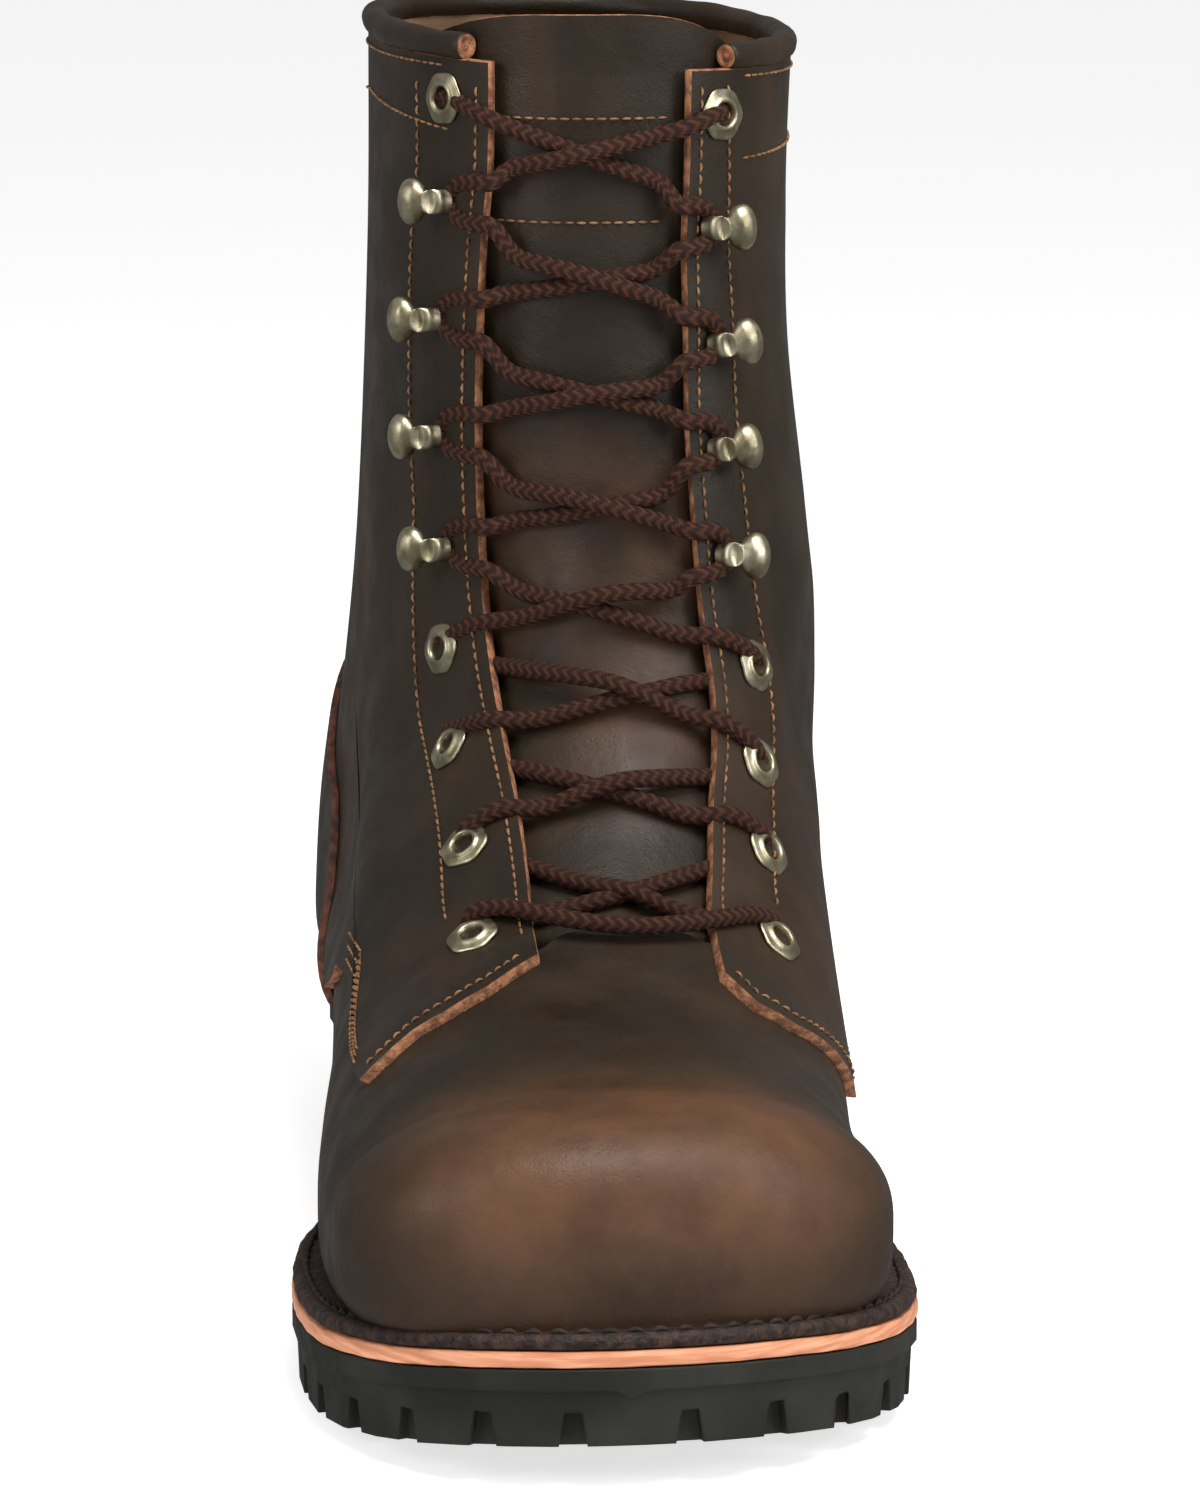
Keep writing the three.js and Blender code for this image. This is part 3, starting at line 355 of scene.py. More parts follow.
toe_width_power, toe_height_power, lean_unit = 2.5, 2.7, 1.5
overlay, tip_place = 2.1, 0.0006

# Folds of the worn-in leather, each a soft line between two spots of the upper: place and turn in
# degrees at both ends, half width in mm and height in mm.
folds = [(0.50, -66, 0.66, -74, 7, 1.6), (0.50, -84, 0.66, -92, 8, -1.8), (0.66, -60, 0.86, -52, 8, 0.7),
         (0.52, -48, 0.68, -52, 9, -1.0), (0.56, 66, 0.74, 74, 8, 1.4), (0.58, 84, 0.72, 92, 9, -1.5),
         (0.47, 50, 0.62, 56, 9, -0.9), (0.60, -100, 0.60, -150, 7, -1.2), (0.64, 104, 0.63, 150, 7, -1.2),
         (0.30, -30, 0.33, 28, 8, -0.5), (0.80, 84, 0.93, 84, 26, -1.6), (0.245, -46, 0.27, 40, 10, 0.5)]


def skin(place, turn, out=0.0):
    """Point of the upper, moved out of the leather by out. Each section is a superellipse between a front
    and a back point, whose halves have their own powers; the toe box closes it along two superellipses."""
    place, turn, out = np.broadcast_arrays(np.asarray(place, float), turn, out)
    for p0, t0, p1, t1, wide, height in folds:
        a = np.stack([(place - p0) * 330, (((np.degrees(turn) - t0 + 180) % 360) - 180) * 0.8], -1)
        b = np.array([(p1 - p0) * 330, (t1 - t0) * 0.8])
        share = np.clip((a @ b) / (b @ b), 0, 1)
        away = np.linalg.norm(a - share[..., None] * b, axis=-1)
        out = out + height * np.exp(-(away / wide) ** 2) * (0.6 + 0.4 * np.sin(math.pi * share))
    toe = place < toe_share
    row = np.where(toe, 0, (place - toe_share) / (1 - toe_share) * (len(last_rows) - 1))
    spots = np.arange(len(last_rows))
    g = {n: through(last_rows[:, k], spots, row) for k, n in enumerate(last_names)}
    front_y, back_y = heel_back - g["frontAt"] * sole_length, heel_back - g["backAt"] * sole_length
    front_z = welt_top(front_y) + g["frontUp"] * (collar_height - welt_top(front_y))
    back_z = welt_top(back_y) + g["backUp"] * (collar_height - welt_top(back_y))
    span = np.hypot(front_y - back_y, front_z - back_z)
    dy, dz = (front_y - back_y) / span * out, (front_z - back_z) / span * out
    full_front_y, full_front_z = front_y + dy, front_z + dz
    half = g["ball"] * ball_width / 2 + g["shaft"] * shaft_width / 2 + out
    angle = np.clip(place, tip_place, toe_share) / toe_share * math.pi / 2
    reach = np.cos(angle) ** (2 / toe_width_power)
    narrow = np.sin(angle) ** (2 / toe_width_power)
    low = np.maximum(1 - reach**toe_height_power, 0) ** (1 / toe_height_power)
    toe_y = full_front_y - reach * (toe_zone + out)
    bulge = welt_top(toe_y) + toe_bulge
    full = full_front_z - (welt_top(heel_back - last_rows[0, 0] * sole_length) + toe_bulge)
    toe_back = welt_top(toe_y) + last_rows[0, 3] * (collar_height - welt_top(toe_y)) - out
    fy, fz = np.where(toe, toe_y, full_front_y), np.where(toe, bulge + full * low, full_front_z)
    by, bz = np.where(toe, toe_y, back_y - dy), np.where(toe, toe_back, back_z - dz)
    wide = np.where(toe, (bulge - bz) / (fz - bz), g["wide"])
    half = np.where(toe, half * narrow, half)
    c, s = np.cos(turn), np.sin(turn)
    power = np.where(c >= 0, g["round"], g["heel"])
    bow = np.maximum(np.abs(c), 1e-9) ** (2 / power)
    share = np.where(c >= 0, wide + (1 - wide) * bow, wide - wide * bow)
    across = np.sign(s) * np.maximum(np.abs(s), 1e-9) ** (2 / power)
    drop = g["lean"] * lean_unit * across * ~toe
    shift = (g["backShift"] + (g["shift"] - g["backShift"]) * share) * ball_width / 2
    shift = shift - np.where(toe, reach**2 * 0.06 * ball_width / 2, 0)
    z = bz + (fz - bz) * share - drop
    y = by + (fy - by) * share
    return np.stack([shift + half * across, y, np.maximum(z, welt_top(y) - 1.5)], -1)


def front_spot(x, z, out=0.0):
    """Place and turn of the point that stands at x and z seen from the front, by halving: the turn for x
    inside the place for z. Above the collar the place stays 1."""
    x, z = np.broadcast_arrays(np.asarray(x, float), z)

    def turn_for(place):
        low, high = np.full(x.shape, -1.45), np.full(x.shape, 1.45)
        for _ in range(18):
            middle = (low + high) / 2
            less = skin(place, middle, out)[..., 0] < x
            low, high = np.where(less, middle, low), np.where(less, high, middle)
        return (low + high) / 2

    low, high = np.full(x.shape, toe_share), np.full(x.shape, 1.0)
    for _ in range(16):
        middle = (low + high) / 2
        less = skin(middle, turn_for(middle), out)[..., 2] < z
        low, high = np.where(less, middle, low), np.where(less, high, middle)
    middle = (low + high) / 2
    return middle, turn_for(middle)


def frame_at(place, turn, out):
    """Point, outward normal and the direction up along the leather, from differences of the surface."""
    at = skin(place, turn, out)
    up = skin(np.minimum(place + 0.003, 1), turn, out) - skin(place - 0.003, turn, out)
    normal = np.cross(skin(place, turn + 0.02, out) - skin(place, turn - 0.02, out), up)
    toward = skin(place, turn, np.asarray(out) + 1.0) - at
    normal *= np.sign((normal * toward).sum(-1, keepdims=True))
    unit = lambda v: v / np.maximum(np.linalg.norm(v, axis=-1, keepdims=True), 1e-9)
    return at, unit(normal), unit(up)


leather = bpy.data.node_groups.new("oiled leather", "ShaderNodeTree")
for label, kind in (("Place", "NodeSocketVector"), ("Rub", "NodeSocketFloat")):
    leather.interface.new_socket(label, in_out="INPUT", socket_type=kind)
for label, kind in (("Colour", "NodeSocketColor"), ("Rough", "NodeSocketFloat"),
                    ("Normal", "NodeSocketVector")):
    leather.interface.new_socket(label, in_out="OUTPUT", socket_type=kind)
given, ready = leather.nodes.new("NodeGroupInput"), leather.nodes.new("NodeGroupOutput")
spot = given.outputs["Place"]
cloud = ramp(leather, noise(leather, spot, 16, 5, 0.6), 0.38, 0.68)
fine = ramp(leather, noise(leather, spot, 75, 6, 0.65), 0.35, 0.7)
streak = ramp(leather, noise(leather, node(leather, "ShaderNodeMapping", Vector=spot,
              Scale=(1, 1, 0.25)).outputs[0], 38, 5, 0.6), 0.45, 0.75)
tone = blend(leather, cloud, colour(33, 26, 16), colour(46, 35, 22))
tone = blend(leather, sums(leather, "MULTIPLY", fine, 0.5), tone, colour(46, 37, 24))
tone = blend(leather, sums(leather, "MULTIPLY", streak, 0.42), tone, colour(72, 49, 31))
uneven = sums(leather, "ADD", sums(leather, "MULTIPLY", cloud, 0.25), 0.55)
uneven = sums(leather, "ADD", sums(leather, "MULTIPLY", fine, 0.35), uneven)
rubbed = sums(leather, "MULTIPLY", given.outputs["Rub"], uneven)
tone = blend(leather, rubbed, tone, colour(104, 70, 47))
pores = node(leather, "ShaderNodeTexVoronoi", Vector=spot, Scale=1300.0).outputs["Distance"]
pore_mask = ramp(leather, pores, 0.0, 0.5)
grain = bump(leather, noise(leather, spot, 260, 5, 0.6), 0.35, 0.0006)
grain = bump(leather, pore_mask, 0.22, 0.0002, grain)
leather.links.new(tone, ready.inputs["Colour"])
leather.links.new(ramp(leather, noise(leather, spot, 90, 4), 0.3, 0.7, 0.42, 0.58), ready.inputs["Rough"])
leather.links.new(grain, ready.inputs["Normal"])


def leather_look(name, rub):
    """Leather material; rub makes the mask of the worn places from the tree and the Object coordinates."""
    made, tree, shader, place = material(name)
    group = node(tree, "ShaderNodeGroup")
    group.node_tree = leather
    tree.links.new(place, group.inputs["Place"])
    worn = rub(tree, place)
    if isinstance(worn, bpy.types.NodeSocket):
        tree.links.new(worn, group.inputs["Rub"])
    else:
        group.inputs["Rub"].default_value = worn
    tree.links.new(group.outputs["Colour"], shader.inputs["Base Color"])
    tree.links.new(group.outputs["Rough"], shader.inputs["Roughness"])
    tree.links.new(group.outputs["Normal"], shader.inputs["Normal"])
    shader.inputs["Specular IOR Level"].default_value = 0.36
    return made


def toe_rub(tree, place):
    """1 on the toe cap, fading over 30 mm behind it and toward the welt."""
    parts = node(tree, "ShaderNodeSeparateXYZ", Vector=place).outputs
    back = ramp(tree, parts["Y"], -0.252, -0.205, 1, 0)
    low = ramp(tree, parts["Z"], 0.032, 0.052, 0.35, 1)
    side = ramp(tree, sums(tree, "ABSOLUTE", parts["X"]), 0.022, 0.052, 1, 0.15)
    return sums(tree, "MULTIPLY", sums(tree, "MULTIPLY", back, low), side)


vamp_look = leather_look("vamp leather", toe_rub)
quarter_look = leather_look("quarter leather", lambda tree, place: ramp(
    tree, noise(tree, place, 11, 3), 0.5, 0.75, 0.0, 0.22))
raw_look, tree, shader, place = material("raw leather edge")
tree.links.new(blend(tree, ramp(tree, noise(tree, place, 420, 5), 0.35, 0.68), colour(112, 70, 46),
                     colour(182, 124, 86)), shader.inputs["Base Color"])
shader.inputs["Roughness"].default_value = 0.85
tree.links.new(bump(tree, noise(tree, place, 1500, 4), 0.7, 0.0006), shader.inputs["Normal"])


# Counter's edge: leather edge coloured darker than the other raw edges.
darker_edge_look, tree, shader, place = material("darker counter edge")
tree.links.new(blend(tree, ramp(tree, noise(tree, place, 420, 5), 0.35, 0.68), colour(62, 38, 28),
                     colour(112, 66, 46)), shader.inputs["Base Color"])
shader.inputs["Roughness"].default_value = 0.8


def leather_sheet(name, outer, inner, looks, nodes=(), wrap=False, lip=0.35):
    """Closed sheet from its outer and inner grids of points. Its rim has three more rows of points,
    rounded out by the lip; a wrapped sheet joins its last column to the first and closes its first row."""
    n, m = outer.shape[:2]
    grid = np.arange(n * m).reshape(n, m)
    if wrap:
        loops = [(grid[-1], grid[-2])]
    else:
        loop = np.concatenate([grid[0, :-1], grid[:-1, -1], grid[-1, :0:-1], grid[:0:-1, 0]])
        within = np.concatenate([grid[1, :-1], grid[:-1, -2], grid[-2, :0:-1], grid[:0:-1, 1]])
        loops = [(loop, within)]
    flat_out, flat_in = outer.reshape(-1, 3), inner.reshape(-1, 3)
    points, faces, kinds = [flat_out, flat_in], [], []
    i, j = np.meshgrid(np.arange(n - 1), np.arange(m if wrap else m - 1), indexing="ij")
    a, b = grid[i, j].ravel(), grid[i, (j + 1) % m].ravel()
    c, d = grid[i + 1, (j + 1) % m].ravel(), grid[i + 1, j].ravel()
    faces += [np.stack([a, b, c, d], 1), np.stack([d, c, b, a], 1) + n * m]
    kinds += [np.zeros(len(a)), np.full(len(a), 2)]
    if wrap:
        k = np.arange(m // 2)
        pole = np.stack([k, (m - k) % m, m - k - 1, k + 1], 1)
        faces += [pole, pole[:, ::-1] + n * m]
        kinds += [np.zeros(len(k)), np.full(len(k), 2)]
    count = 2 * n * m
    sharp = np.zeros(count + 3 * sum(len(l) for l, _ in loops), bool)
    for loop, within in loops:
        away = flat_out[loop] - flat_out[within]
        away /= np.maximum(np.linalg.norm(away, axis=1, keepdims=True), 1e-9)
        rows = [loop]
        for share in (0.18, 0.5, 0.82):
            points.append(flat_out[loop] * (1 - share) + flat_in[loop] * share
                          + away * lip * (1 if share == 0.5 else 0.8))
            rows.append(np.arange(count, count + len(loop)))
            count += len(loop)
        rows.append(loop + n * m)
        for one, two in zip(rows, rows[1:]):
            faces.append(np.stack([np.roll(one, -1), one, two, np.roll(two, -1)], 1))
            kinds.append(np.ones(len(loop)))
        sharp[loop] = True
    points, faces = np.concatenate(points), outward(np.concatenate(points), np.concatenate(faces))
    kinds = np.minimum(np.concatenate(kinds), len(looks) - 1)
    faces = [list(dict.fromkeys(f)) for f in faces.tolist()]
    return show(name, points, faces, looks, nodes, kinds, sharp)


half_shaft = shaft_width / 2
throat_up = [0.335, 0.365, 0.405, 0.450, 0.495, 0.555, 0.630, 0.710, 0.790, 0.860, 0.920, 1.060]
throat_inner = [-0.21, -0.20, -0.205, -0.23, -0.25, -0.27, -0.285, -0.29, -0.28, -0.26, -0.23, -0.22]
throat_outer = [0.60, 0.635, 0.67, 0.715, 0.72, 0.685, 0.66, 0.64, 0.645, 0.645, 0.665, 0.68]
arch_up = [0.316, 0.325, 0.329, 0.330, 0.325, 0.312]
arch_across = [-0.205, -0.09, 0.06, 0.22, 0.41, 0.59]
quarter_turn = np.array([-180, -165, -150, -135, -120, -104, -88, -75, -65, -58, -53, -45, -37, -29, -20, -12, 0,
                         12, 27, 36, 47, 59, 71, 82, 88, 98, 111, 125, 138, 151, 166, 180.0])
quarter_place = np.array([0.600, 0.595, 0.585, 0.572, 0.555, 0.527, 0.492, 0.460, 0.422, 0.345, 0.294, 0.300,
                          0.311, 0.316, 0.328, 0.348, 0.375, 0.375, 0.350, 0.329, 0.331, 0.349, 0.366, 0.376,
                          0.425, 0.475, 0.515, 0.550, 0.572, 0.585, 0.595, 0.600])


def flap_edge(z, side, away=0.0):
    """Throat's edge at a height, seen from the front; away moves it onto the flap."""
    row = throat_inner if side < 0 else throat_outer
    return through(row, throat_up, np.asarray(z) / collar_height) * half_shaft + side * away


def quarter_low(turn):
    """Place of the quarter's lower edge at a turn in radians."""
    degrees = (np.degrees(turn) + 180) % 360 - 180
    return np.interp(degrees, quarter_turn, quarter_place)


heights = np.linspace(0.30, 1.0, 60) * collar_height
edge_spots = {side: front_spot(flap_edge(heights, side), heights, overlay) for side in (-1, 1)}


def throat_turn(place, side):
    """Turn of the throat's edge at a place along the upper."""
    places, turns_there = edge_spots[side]
    order = np.argsort(places)
    return np.interp(place, places[order], turns_there[order])


# Vamp: one piece of leather over toe and instep, lasted over the toe cap and turned in under the welt.
# Its arched raw edge crosses the tongue's foot, and the quarters lie on its rear edge.
columns = np.linspace(0, 2 * math.pi, 361)[:-1]
arch_x = np.linspace(arch_across[0], arch_across[-1], 24) * half_shaft
arch_z = through(arch_up, arch_across, arch_x / half_shaft) * collar_height
arch_place, arch_turn = front_spot(arch_x, arch_z)
signed = (columns + math.pi) % (2 * math.pi) - math.pi
arched = np.interp(signed, arch_turn, arch_place)
tucked = quarter_low(columns) + 0.05
beside = np.clip(np.maximum(arch_turn[0] - signed, signed - arch_turn[-1]) / 0.25, 0, 1)
top = arched * (1 - beside) + np.maximum(tucked, 0.36) * beside
rows = np.concatenate([np.linspace(0, 1, 30)[:-1] ** 1.6 * 0.3, np.linspace(0.3, 1, 80)])
grid_place = tip_place + rows[:, None] * (top[None, :] - tip_place)
leather_sheet("vamp", skin(grid_place, columns[None, :]), skin(grid_place, columns[None, :], -1.7),
              [vamp_look, raw_look, inner_look], ("upper",), wrap=True, lip=0.2)

# Quarters: both sides and the back in one closed shape over the vamp, with a raw edge down the throat
# and along the vamp, turned in under the rolled collar.
across = np.linspace(0, 1, 520)
place = np.full(across.shape, 0.4)
for _ in range(25):
    first, last = throat_turn(place, 1), throat_turn(place, -1) + 2 * math.pi
    place = 0.5 * place + 0.5 * quarter_low(first + (last - first) * across)
upward = np.linspace(0, 1, 84)
grid_place = place[None, :] + (1 - place[None, :]) * upward[:, None]
first, last = throat_turn(grid_place, 1), throat_turn(grid_place, -1) + 2 * math.pi
grid_turn = first + (last - first) * across[None, :]
leather_sheet("quarters", skin(grid_place, grid_turn, overlay), skin(grid_place, grid_turn, -0.7),
              [quarter_look, raw_look, inner_look], lip=0.25)

# Collar band and rolled collar: a narrow band round the top, stitched along its lower edge, whose upper
# edge is rolled over a cord and sewn down. The roll's raw spiral ends show at the throat.
roll_radius = 2.9
around = np.linspace(math.radians(31), math.radians(360 - 40), 220)
section = np.linspace(0, 2 * math.pi, 21)[:-1]
rim = skin(1.0, around, 0.6)
flow = np.gradient(rim, axis=0)
flow /= np.linalg.norm(flow, axis=1, keepdims=True)
side = np.cross(flow, [0, 0, 1.0])
side /= np.linalg.norm(side, axis=1, keepdims=True)
size = roll_radius * (1 + 0.05 * np.sin(around * 9) + 0.03 * np.sin(around * 23))[:, None]
middle = rim + np.array([0, 0, roll_radius * 0.9])
roll = np.stack([middle + side * size * math.cos(a) + np.array([0, 0, 1.0]) * size * math.sin(a) * 0.95
                 for a in section], 1)
spiral = ((0.9, 0.25), (0.55, 0.35), (0.5, -0.1), (0.25, -0.1), (0.2, 0.3), (0.02, 0.35))
ends = [np.stack([ring.mean(0) + (ring - ring.mean(0)) * narrow + way * lift for narrow, lift in spiral])
        for ring, way in ((roll[0], -flow[0]), (roll[-1], flow[-1]))]
rings = np.concatenate([ends[0][::-1], roll, ends[1]])
raw = np.zeros(len(rings) - 1, int)
raw[:5], raw[-5:] = 1, 1
points, faces = capped(rings)
show("rolled collar", points, faces, [quarter_look, raw_look], ("collar_roll",),
     list(np.repeat(raw, len(section))) + [1, 1])

# Counter: a curved piece of the same leather over the heel, lying on the quarters. Its edge is coloured
# darker than the other raw edges.
counter_size, counter_out = 80, 2.4
counter_up = [-0.02, 0.06, 0.30, 0.54, 0.75, 0.90, 0.985]
counter_reach = [1.00, 1.00, 0.94, 0.82, 0.64, 0.42, 0.20]
up_share = np.linspace(0, 1, 34)
reach = np.interp(up_share, counter_up, counter_reach)
sideways = np.linspace(-1, 1, 90)
forward = heel_back - counter_size * reach
goal_z = (welt_top(heel_back - 30) + seam + up_share * counter_size)[:, None] + 0 * sideways[None, :]
low, high = np.full(goal_z.shape, 0.0), np.full(goal_z.shape, 1.6)


def at_height(bend, z):
    """Place whose point at this turn has that height, by halving."""
    low_place, high_place = np.full(z.shape, 0.42), np.full(z.shape, 1.0)
    for _ in range(16):
        middle = (low_place + high_place) / 2
        less = skin(middle, bend, counter_out)[..., 2] < z
        low_place, high_place = np.where(less, middle, low_place), np.where(less, high_place, middle)
    return (low_place + high_place) / 2


sign = np.where(sideways < 0, -1.0, 1.0)[None, :]
for _ in range(16):
    bend = (low + high) / 2
    bent = math.pi + sign * bend
    y_there = skin(at_height(bent, goal_z), bent, counter_out)[..., 1]
    less = y_there > forward[:, None]
    low, high = np.where(less, bend, low), np.where(less, high, bend)
bend_turn = math.pi + sideways[None, :] * (low + high) / 2
grid_place = at_height(bend_turn, goal_z)
leather_sheet("counter piece", skin(grid_place, bend_turn, 3.9), skin(grid_place, bend_turn, 2.15),
              [quarter_look, darker_edge_look], ("counter",), lip=0.2)

# Tongue: one soft sheet of leather behind the lacing, sewn in under the vamp. Its top is a raw edge that
# stands a little above the collar, and it is waved where it was bent.
tongue_rise, tongue_front, tongue_back, rim_z = 10.5, -2.6, -4.4, 239
z_rows = np.linspace(60, collar_height + tongue_rise, 150)
within = np.linspace(0, 1, 60)
left = flap_edge(np.minimum(z_rows, collar_height), -1, 13)
right = flap_edge(np.minimum(z_rows, collar_height), 1, 11)
grid_x = left[:, None] + (right - left)[:, None] * within[None, :]
grid_z = z_rows[:, None] + 0 * grid_x
tongue_place, tongue_turn = front_spot(grid_x, np.minimum(grid_z, rim_z), tongue_front)
above = np.maximum(grid_z - rim_z, 0) * (1 - 0.8 * np.abs(2 * within[None, :] - 1) ** 4)
wave = (0.5 * np.sin(z_rows / 17)[:, None] * np.sin(within * 7 + 1)[None, :]
        + 0.35 * np.sin(z_rows / 9 + 2)[:, None] * np.sin(within * 11)[None, :])
wave = wave * np.sin(within * math.pi)[None, :]


def tongue_skin(depth):
    """Tongue's surface at a depth: the upper's form moved in, carried on past the collar, gently waved."""
    spots = skin(tongue_place, tongue_turn, depth + wave)
    spots[..., 2] += above
    return spots


def tongue_rub(tree, place):
    """Lighter along the tongue's middle between the lowest hooks and the lower eyelets."""
    parts = node(tree, "ShaderNodeSeparateXYZ", Vector=place).outputs
    height = sums(tree, "MULTIPLY", ramp(tree, parts["Z"], 0.088, 0.12),
                  ramp(tree, parts["Z"], 0.15, 0.18, 1, 0))
    return sums(tree, "MULTIPLY", height, ramp(tree, noise(tree, place, 26, 4), 0.4, 0.7, 0.0, 0.5))


tongue_look = leather_look("tongue leather", tongue_rub)
leather_sheet("tongue sheet", tongue_skin(tongue_front), tongue_skin(tongue_back),
              [tongue_look, raw_look, inner_look], ("tongue",), lip=0.15)

# Seams: golden-brown thread. Two rows follow each flap's edge and the vamp seam, one the collar band,
# two cross the tongue; three rows close the vamp's tip.
runs = []


def run_on(place, turn, out=2.15):
    """Run of a seam through spots of the upper, with its normals."""
    at, normal, _ = frame_at(np.asarray(place), np.asarray(turn), out)
    runs.append((at, normal))


seam_z = np.linspace(0.985, 0.325, 260) * collar_height
edge_row, inner_row, outer_row = (2.2, 2.2, 2.2), (15.5, 11.0, 12.6), (14.5, 11.0, 8.0)
for sign, away in ((-1, edge_row), (-1, inner_row), (1, edge_row), (1, outer_row)):
    reach = np.interp(seam_z, [80, 150, 235], away)
    run_on(*front_spot(flap_edge(seam_z, sign) + sign * reach, seam_z, overlay))
for start, stop in ((-14, -52), (30, 80)):
    bend = np.radians(np.linspace(start, stop, 120))
    run_on(quarter_low(bend) + 0.011, bend)
for away in (0.011, 0.020, 0.029):
    bend = np.radians(np.linspace(-55, -74, 60))
    run_on(quarter_low(bend) + away, bend)
    run_on(quarter_low(-bend + math.radians(28)) + away, -bend + math.radians(28))
bend = np.linspace(math.radians(36), math.radians(360 - 44), 500)
run_on(np.interp(np.degrees(bend), [36, 90, 180, 270, 316], [0.951, 0.966, 0.971, 0.975, 0.961]), bend)
run_on(np.full(bend.shape, 0.994), bend)
for height in (0.958, 0.872):
    z = height * collar_height
    x_run = np.linspace(flap_edge(z, -1) + 3, flap_edge(z, 1) - 3, 60)
    run_on(*front_spot(x_run, z, tongue_front), tongue_front + 0.15)
stitches("seams", runs, pitch=2.5, length=2.0, radius=0.30, look=thread_look)

# Eyelets and hooks: rolled brass rings pressed through the quarters, and domed hooks riveted to them by
# a flat neck; five rings and four hooks on each side, dull and a little worn.
brass_look, tree, shader, place = material("antique brass")
tree.links.new(blend(tree, ramp(tree, noise(tree, place, 260, 5), 0.35, 0.7), colour(160, 150, 120),
                     colour(214, 206, 178)), shader.inputs["Base Color"])
shader.inputs["Metallic"].default_value = 1.0
tree.links.new(ramp(tree, noise(tree, place, 500, 4), 0.3, 0.7, 0.32, 0.48), shader.inputs["Roughness"])
tree.links.new(bump(tree, noise(tree, place, 700, 3), 0.12, 0.0003), shader.inputs["Normal"])
station_kind = ["eyelet", "hook", "hook", "hook", "hook", "eyelet", "eyelet", "eyelet", "eyelet"]
station_up = {-1: [0.972, 0.885, 0.785, 0.686, 0.591, 0.507, 0.437, 0.375, 0.3225],
              1: [0.960, 0.866, 0.771, 0.684, 0.592, 0.502, 0.428, 0.364, 0.306]}
station_across = {-1: [-0.40, -0.46, -0.50, -0.50, -0.48, -0.435, -0.44, -0.435, -0.46],
                  1: [0.82, 0.85, 0.87, 0.87, 0.89, 0.935, 0.92, 0.915, 0.905]}
ring_profile = [(2.3, -3.5), (2.3, 0.6), (2.45, 1.15), (2.8, 1.5), (3.2, 1.45), (3.5, 1.1), (3.9, 0.85),
                (4.7, 0.7), (5.15, 0.5), (5.3, 0.2), (5.1, 0.02), (3.0, -0.1), (2.9, -3.5)]
hook_rows = np.array([[-7.0, 0.1, 2.4, 1.4], [-7.2, 1.6, 2.4, 1.0], [-7.5, 3.0, 2.5, 0.8], [-7.2, 4.4, 2.5, 0.75],
                      [-6.7, 5.2, 2.3, 0.9], [-6.2, 5.7, 2.2, 1.2], [-5.6, 6.0, 3.0, 1.7], [-4.9, 6.2, 3.9, 2.2],
                      [-3.9, 6.3, 4.5, 2.6], [-2.7, 6.4, 4.7, 2.8], [-1.5, 6.3, 4.4, 2.6], [-0.4, 6.1, 3.4, 2.0],
                      [0.1, 5.9, 1.5, 1.0], [0.3, 5.85, 0.15, 0.1]])
stations = {}
for sign, label in ((-1, "inner"), (1, "outer")):
    for index, kind in enumerate(station_kind):
        x, z = station_across[sign][index] * half_shaft, station_up[sign][index] * collar_height
        at, normal, up = (v[0] for v in frame_at(*front_spot(np.array([x]), z, overlay), overlay))
        sideways_dir = np.cross(up, normal)
        away = sideways_dir * np.sign(sideways_dir[0]) * sign
        stations[sign, index] = (x, z)
        if kind == "eyelet":
            turns = np.linspace(0, 2 * math.pi, 49)[:-1]
            rings = [[at + normal * h + (away * math.cos(t) + up * math.sin(t))
                      * (r * (1 + (0.035 * math.cos(6 * t) if r > 4.5 else 0))) for r, h in ring_profile]
                     for t in turns]
            points = np.array(rings).reshape(-1, 3)
            faces = outward(points, tube_faces(len(turns), len(ring_profile), True))
        else:
            steps = np.linspace(0, len(hook_rows) - 1, 60)
            circle = np.linspace(0, 2 * math.pi, 25)[:-1]
            table = [through(hook_rows[:, k], np.arange(len(hook_rows)), steps) for k in range(4)]
            rings = []
            for s, off, high, half_up, half_deep in zip(steps, *table):
                tilt = np.clip((s - 2) / 2.5, 0, 1)
                deep = away * (1 - tilt) + normal * tilt
                deep /= np.linalg.norm(deep)
                rings.append([at + away * off + normal * high + up * half_up * math.cos(t)
                              + deep * half_deep * math.sin(t) for t in circle])
            points, faces = capped(np.array(rings))
        show(f"{kind} {label} {index + 1}", points, faces, [brass_look], (f"{kind}_{label}_{index + 1}",))

# Lace: one round braided cord. A bar crosses the lowest eyelets; both halves then cross inside to the
# next eyelets, come out over the flap's edge, cross over the tongue to the other side, and higher up
# go round the hooks' necks. The ends stop inside the top eyelets.
lace_radius = 1.85
path = []


def eyelet_to(sign, index, out_first):
    """Lace through an eyelet, from inside to outside or the other way."""
    x, z = stations[sign, index]
    depth = [(-3.4, 0.0), (0.5, 0.0), (3.6, -0.6)]
    for out, toward in depth if out_first else depth[::-1]:
        path.append((x + sign * toward, z + 0.4 * (out > 3), out))


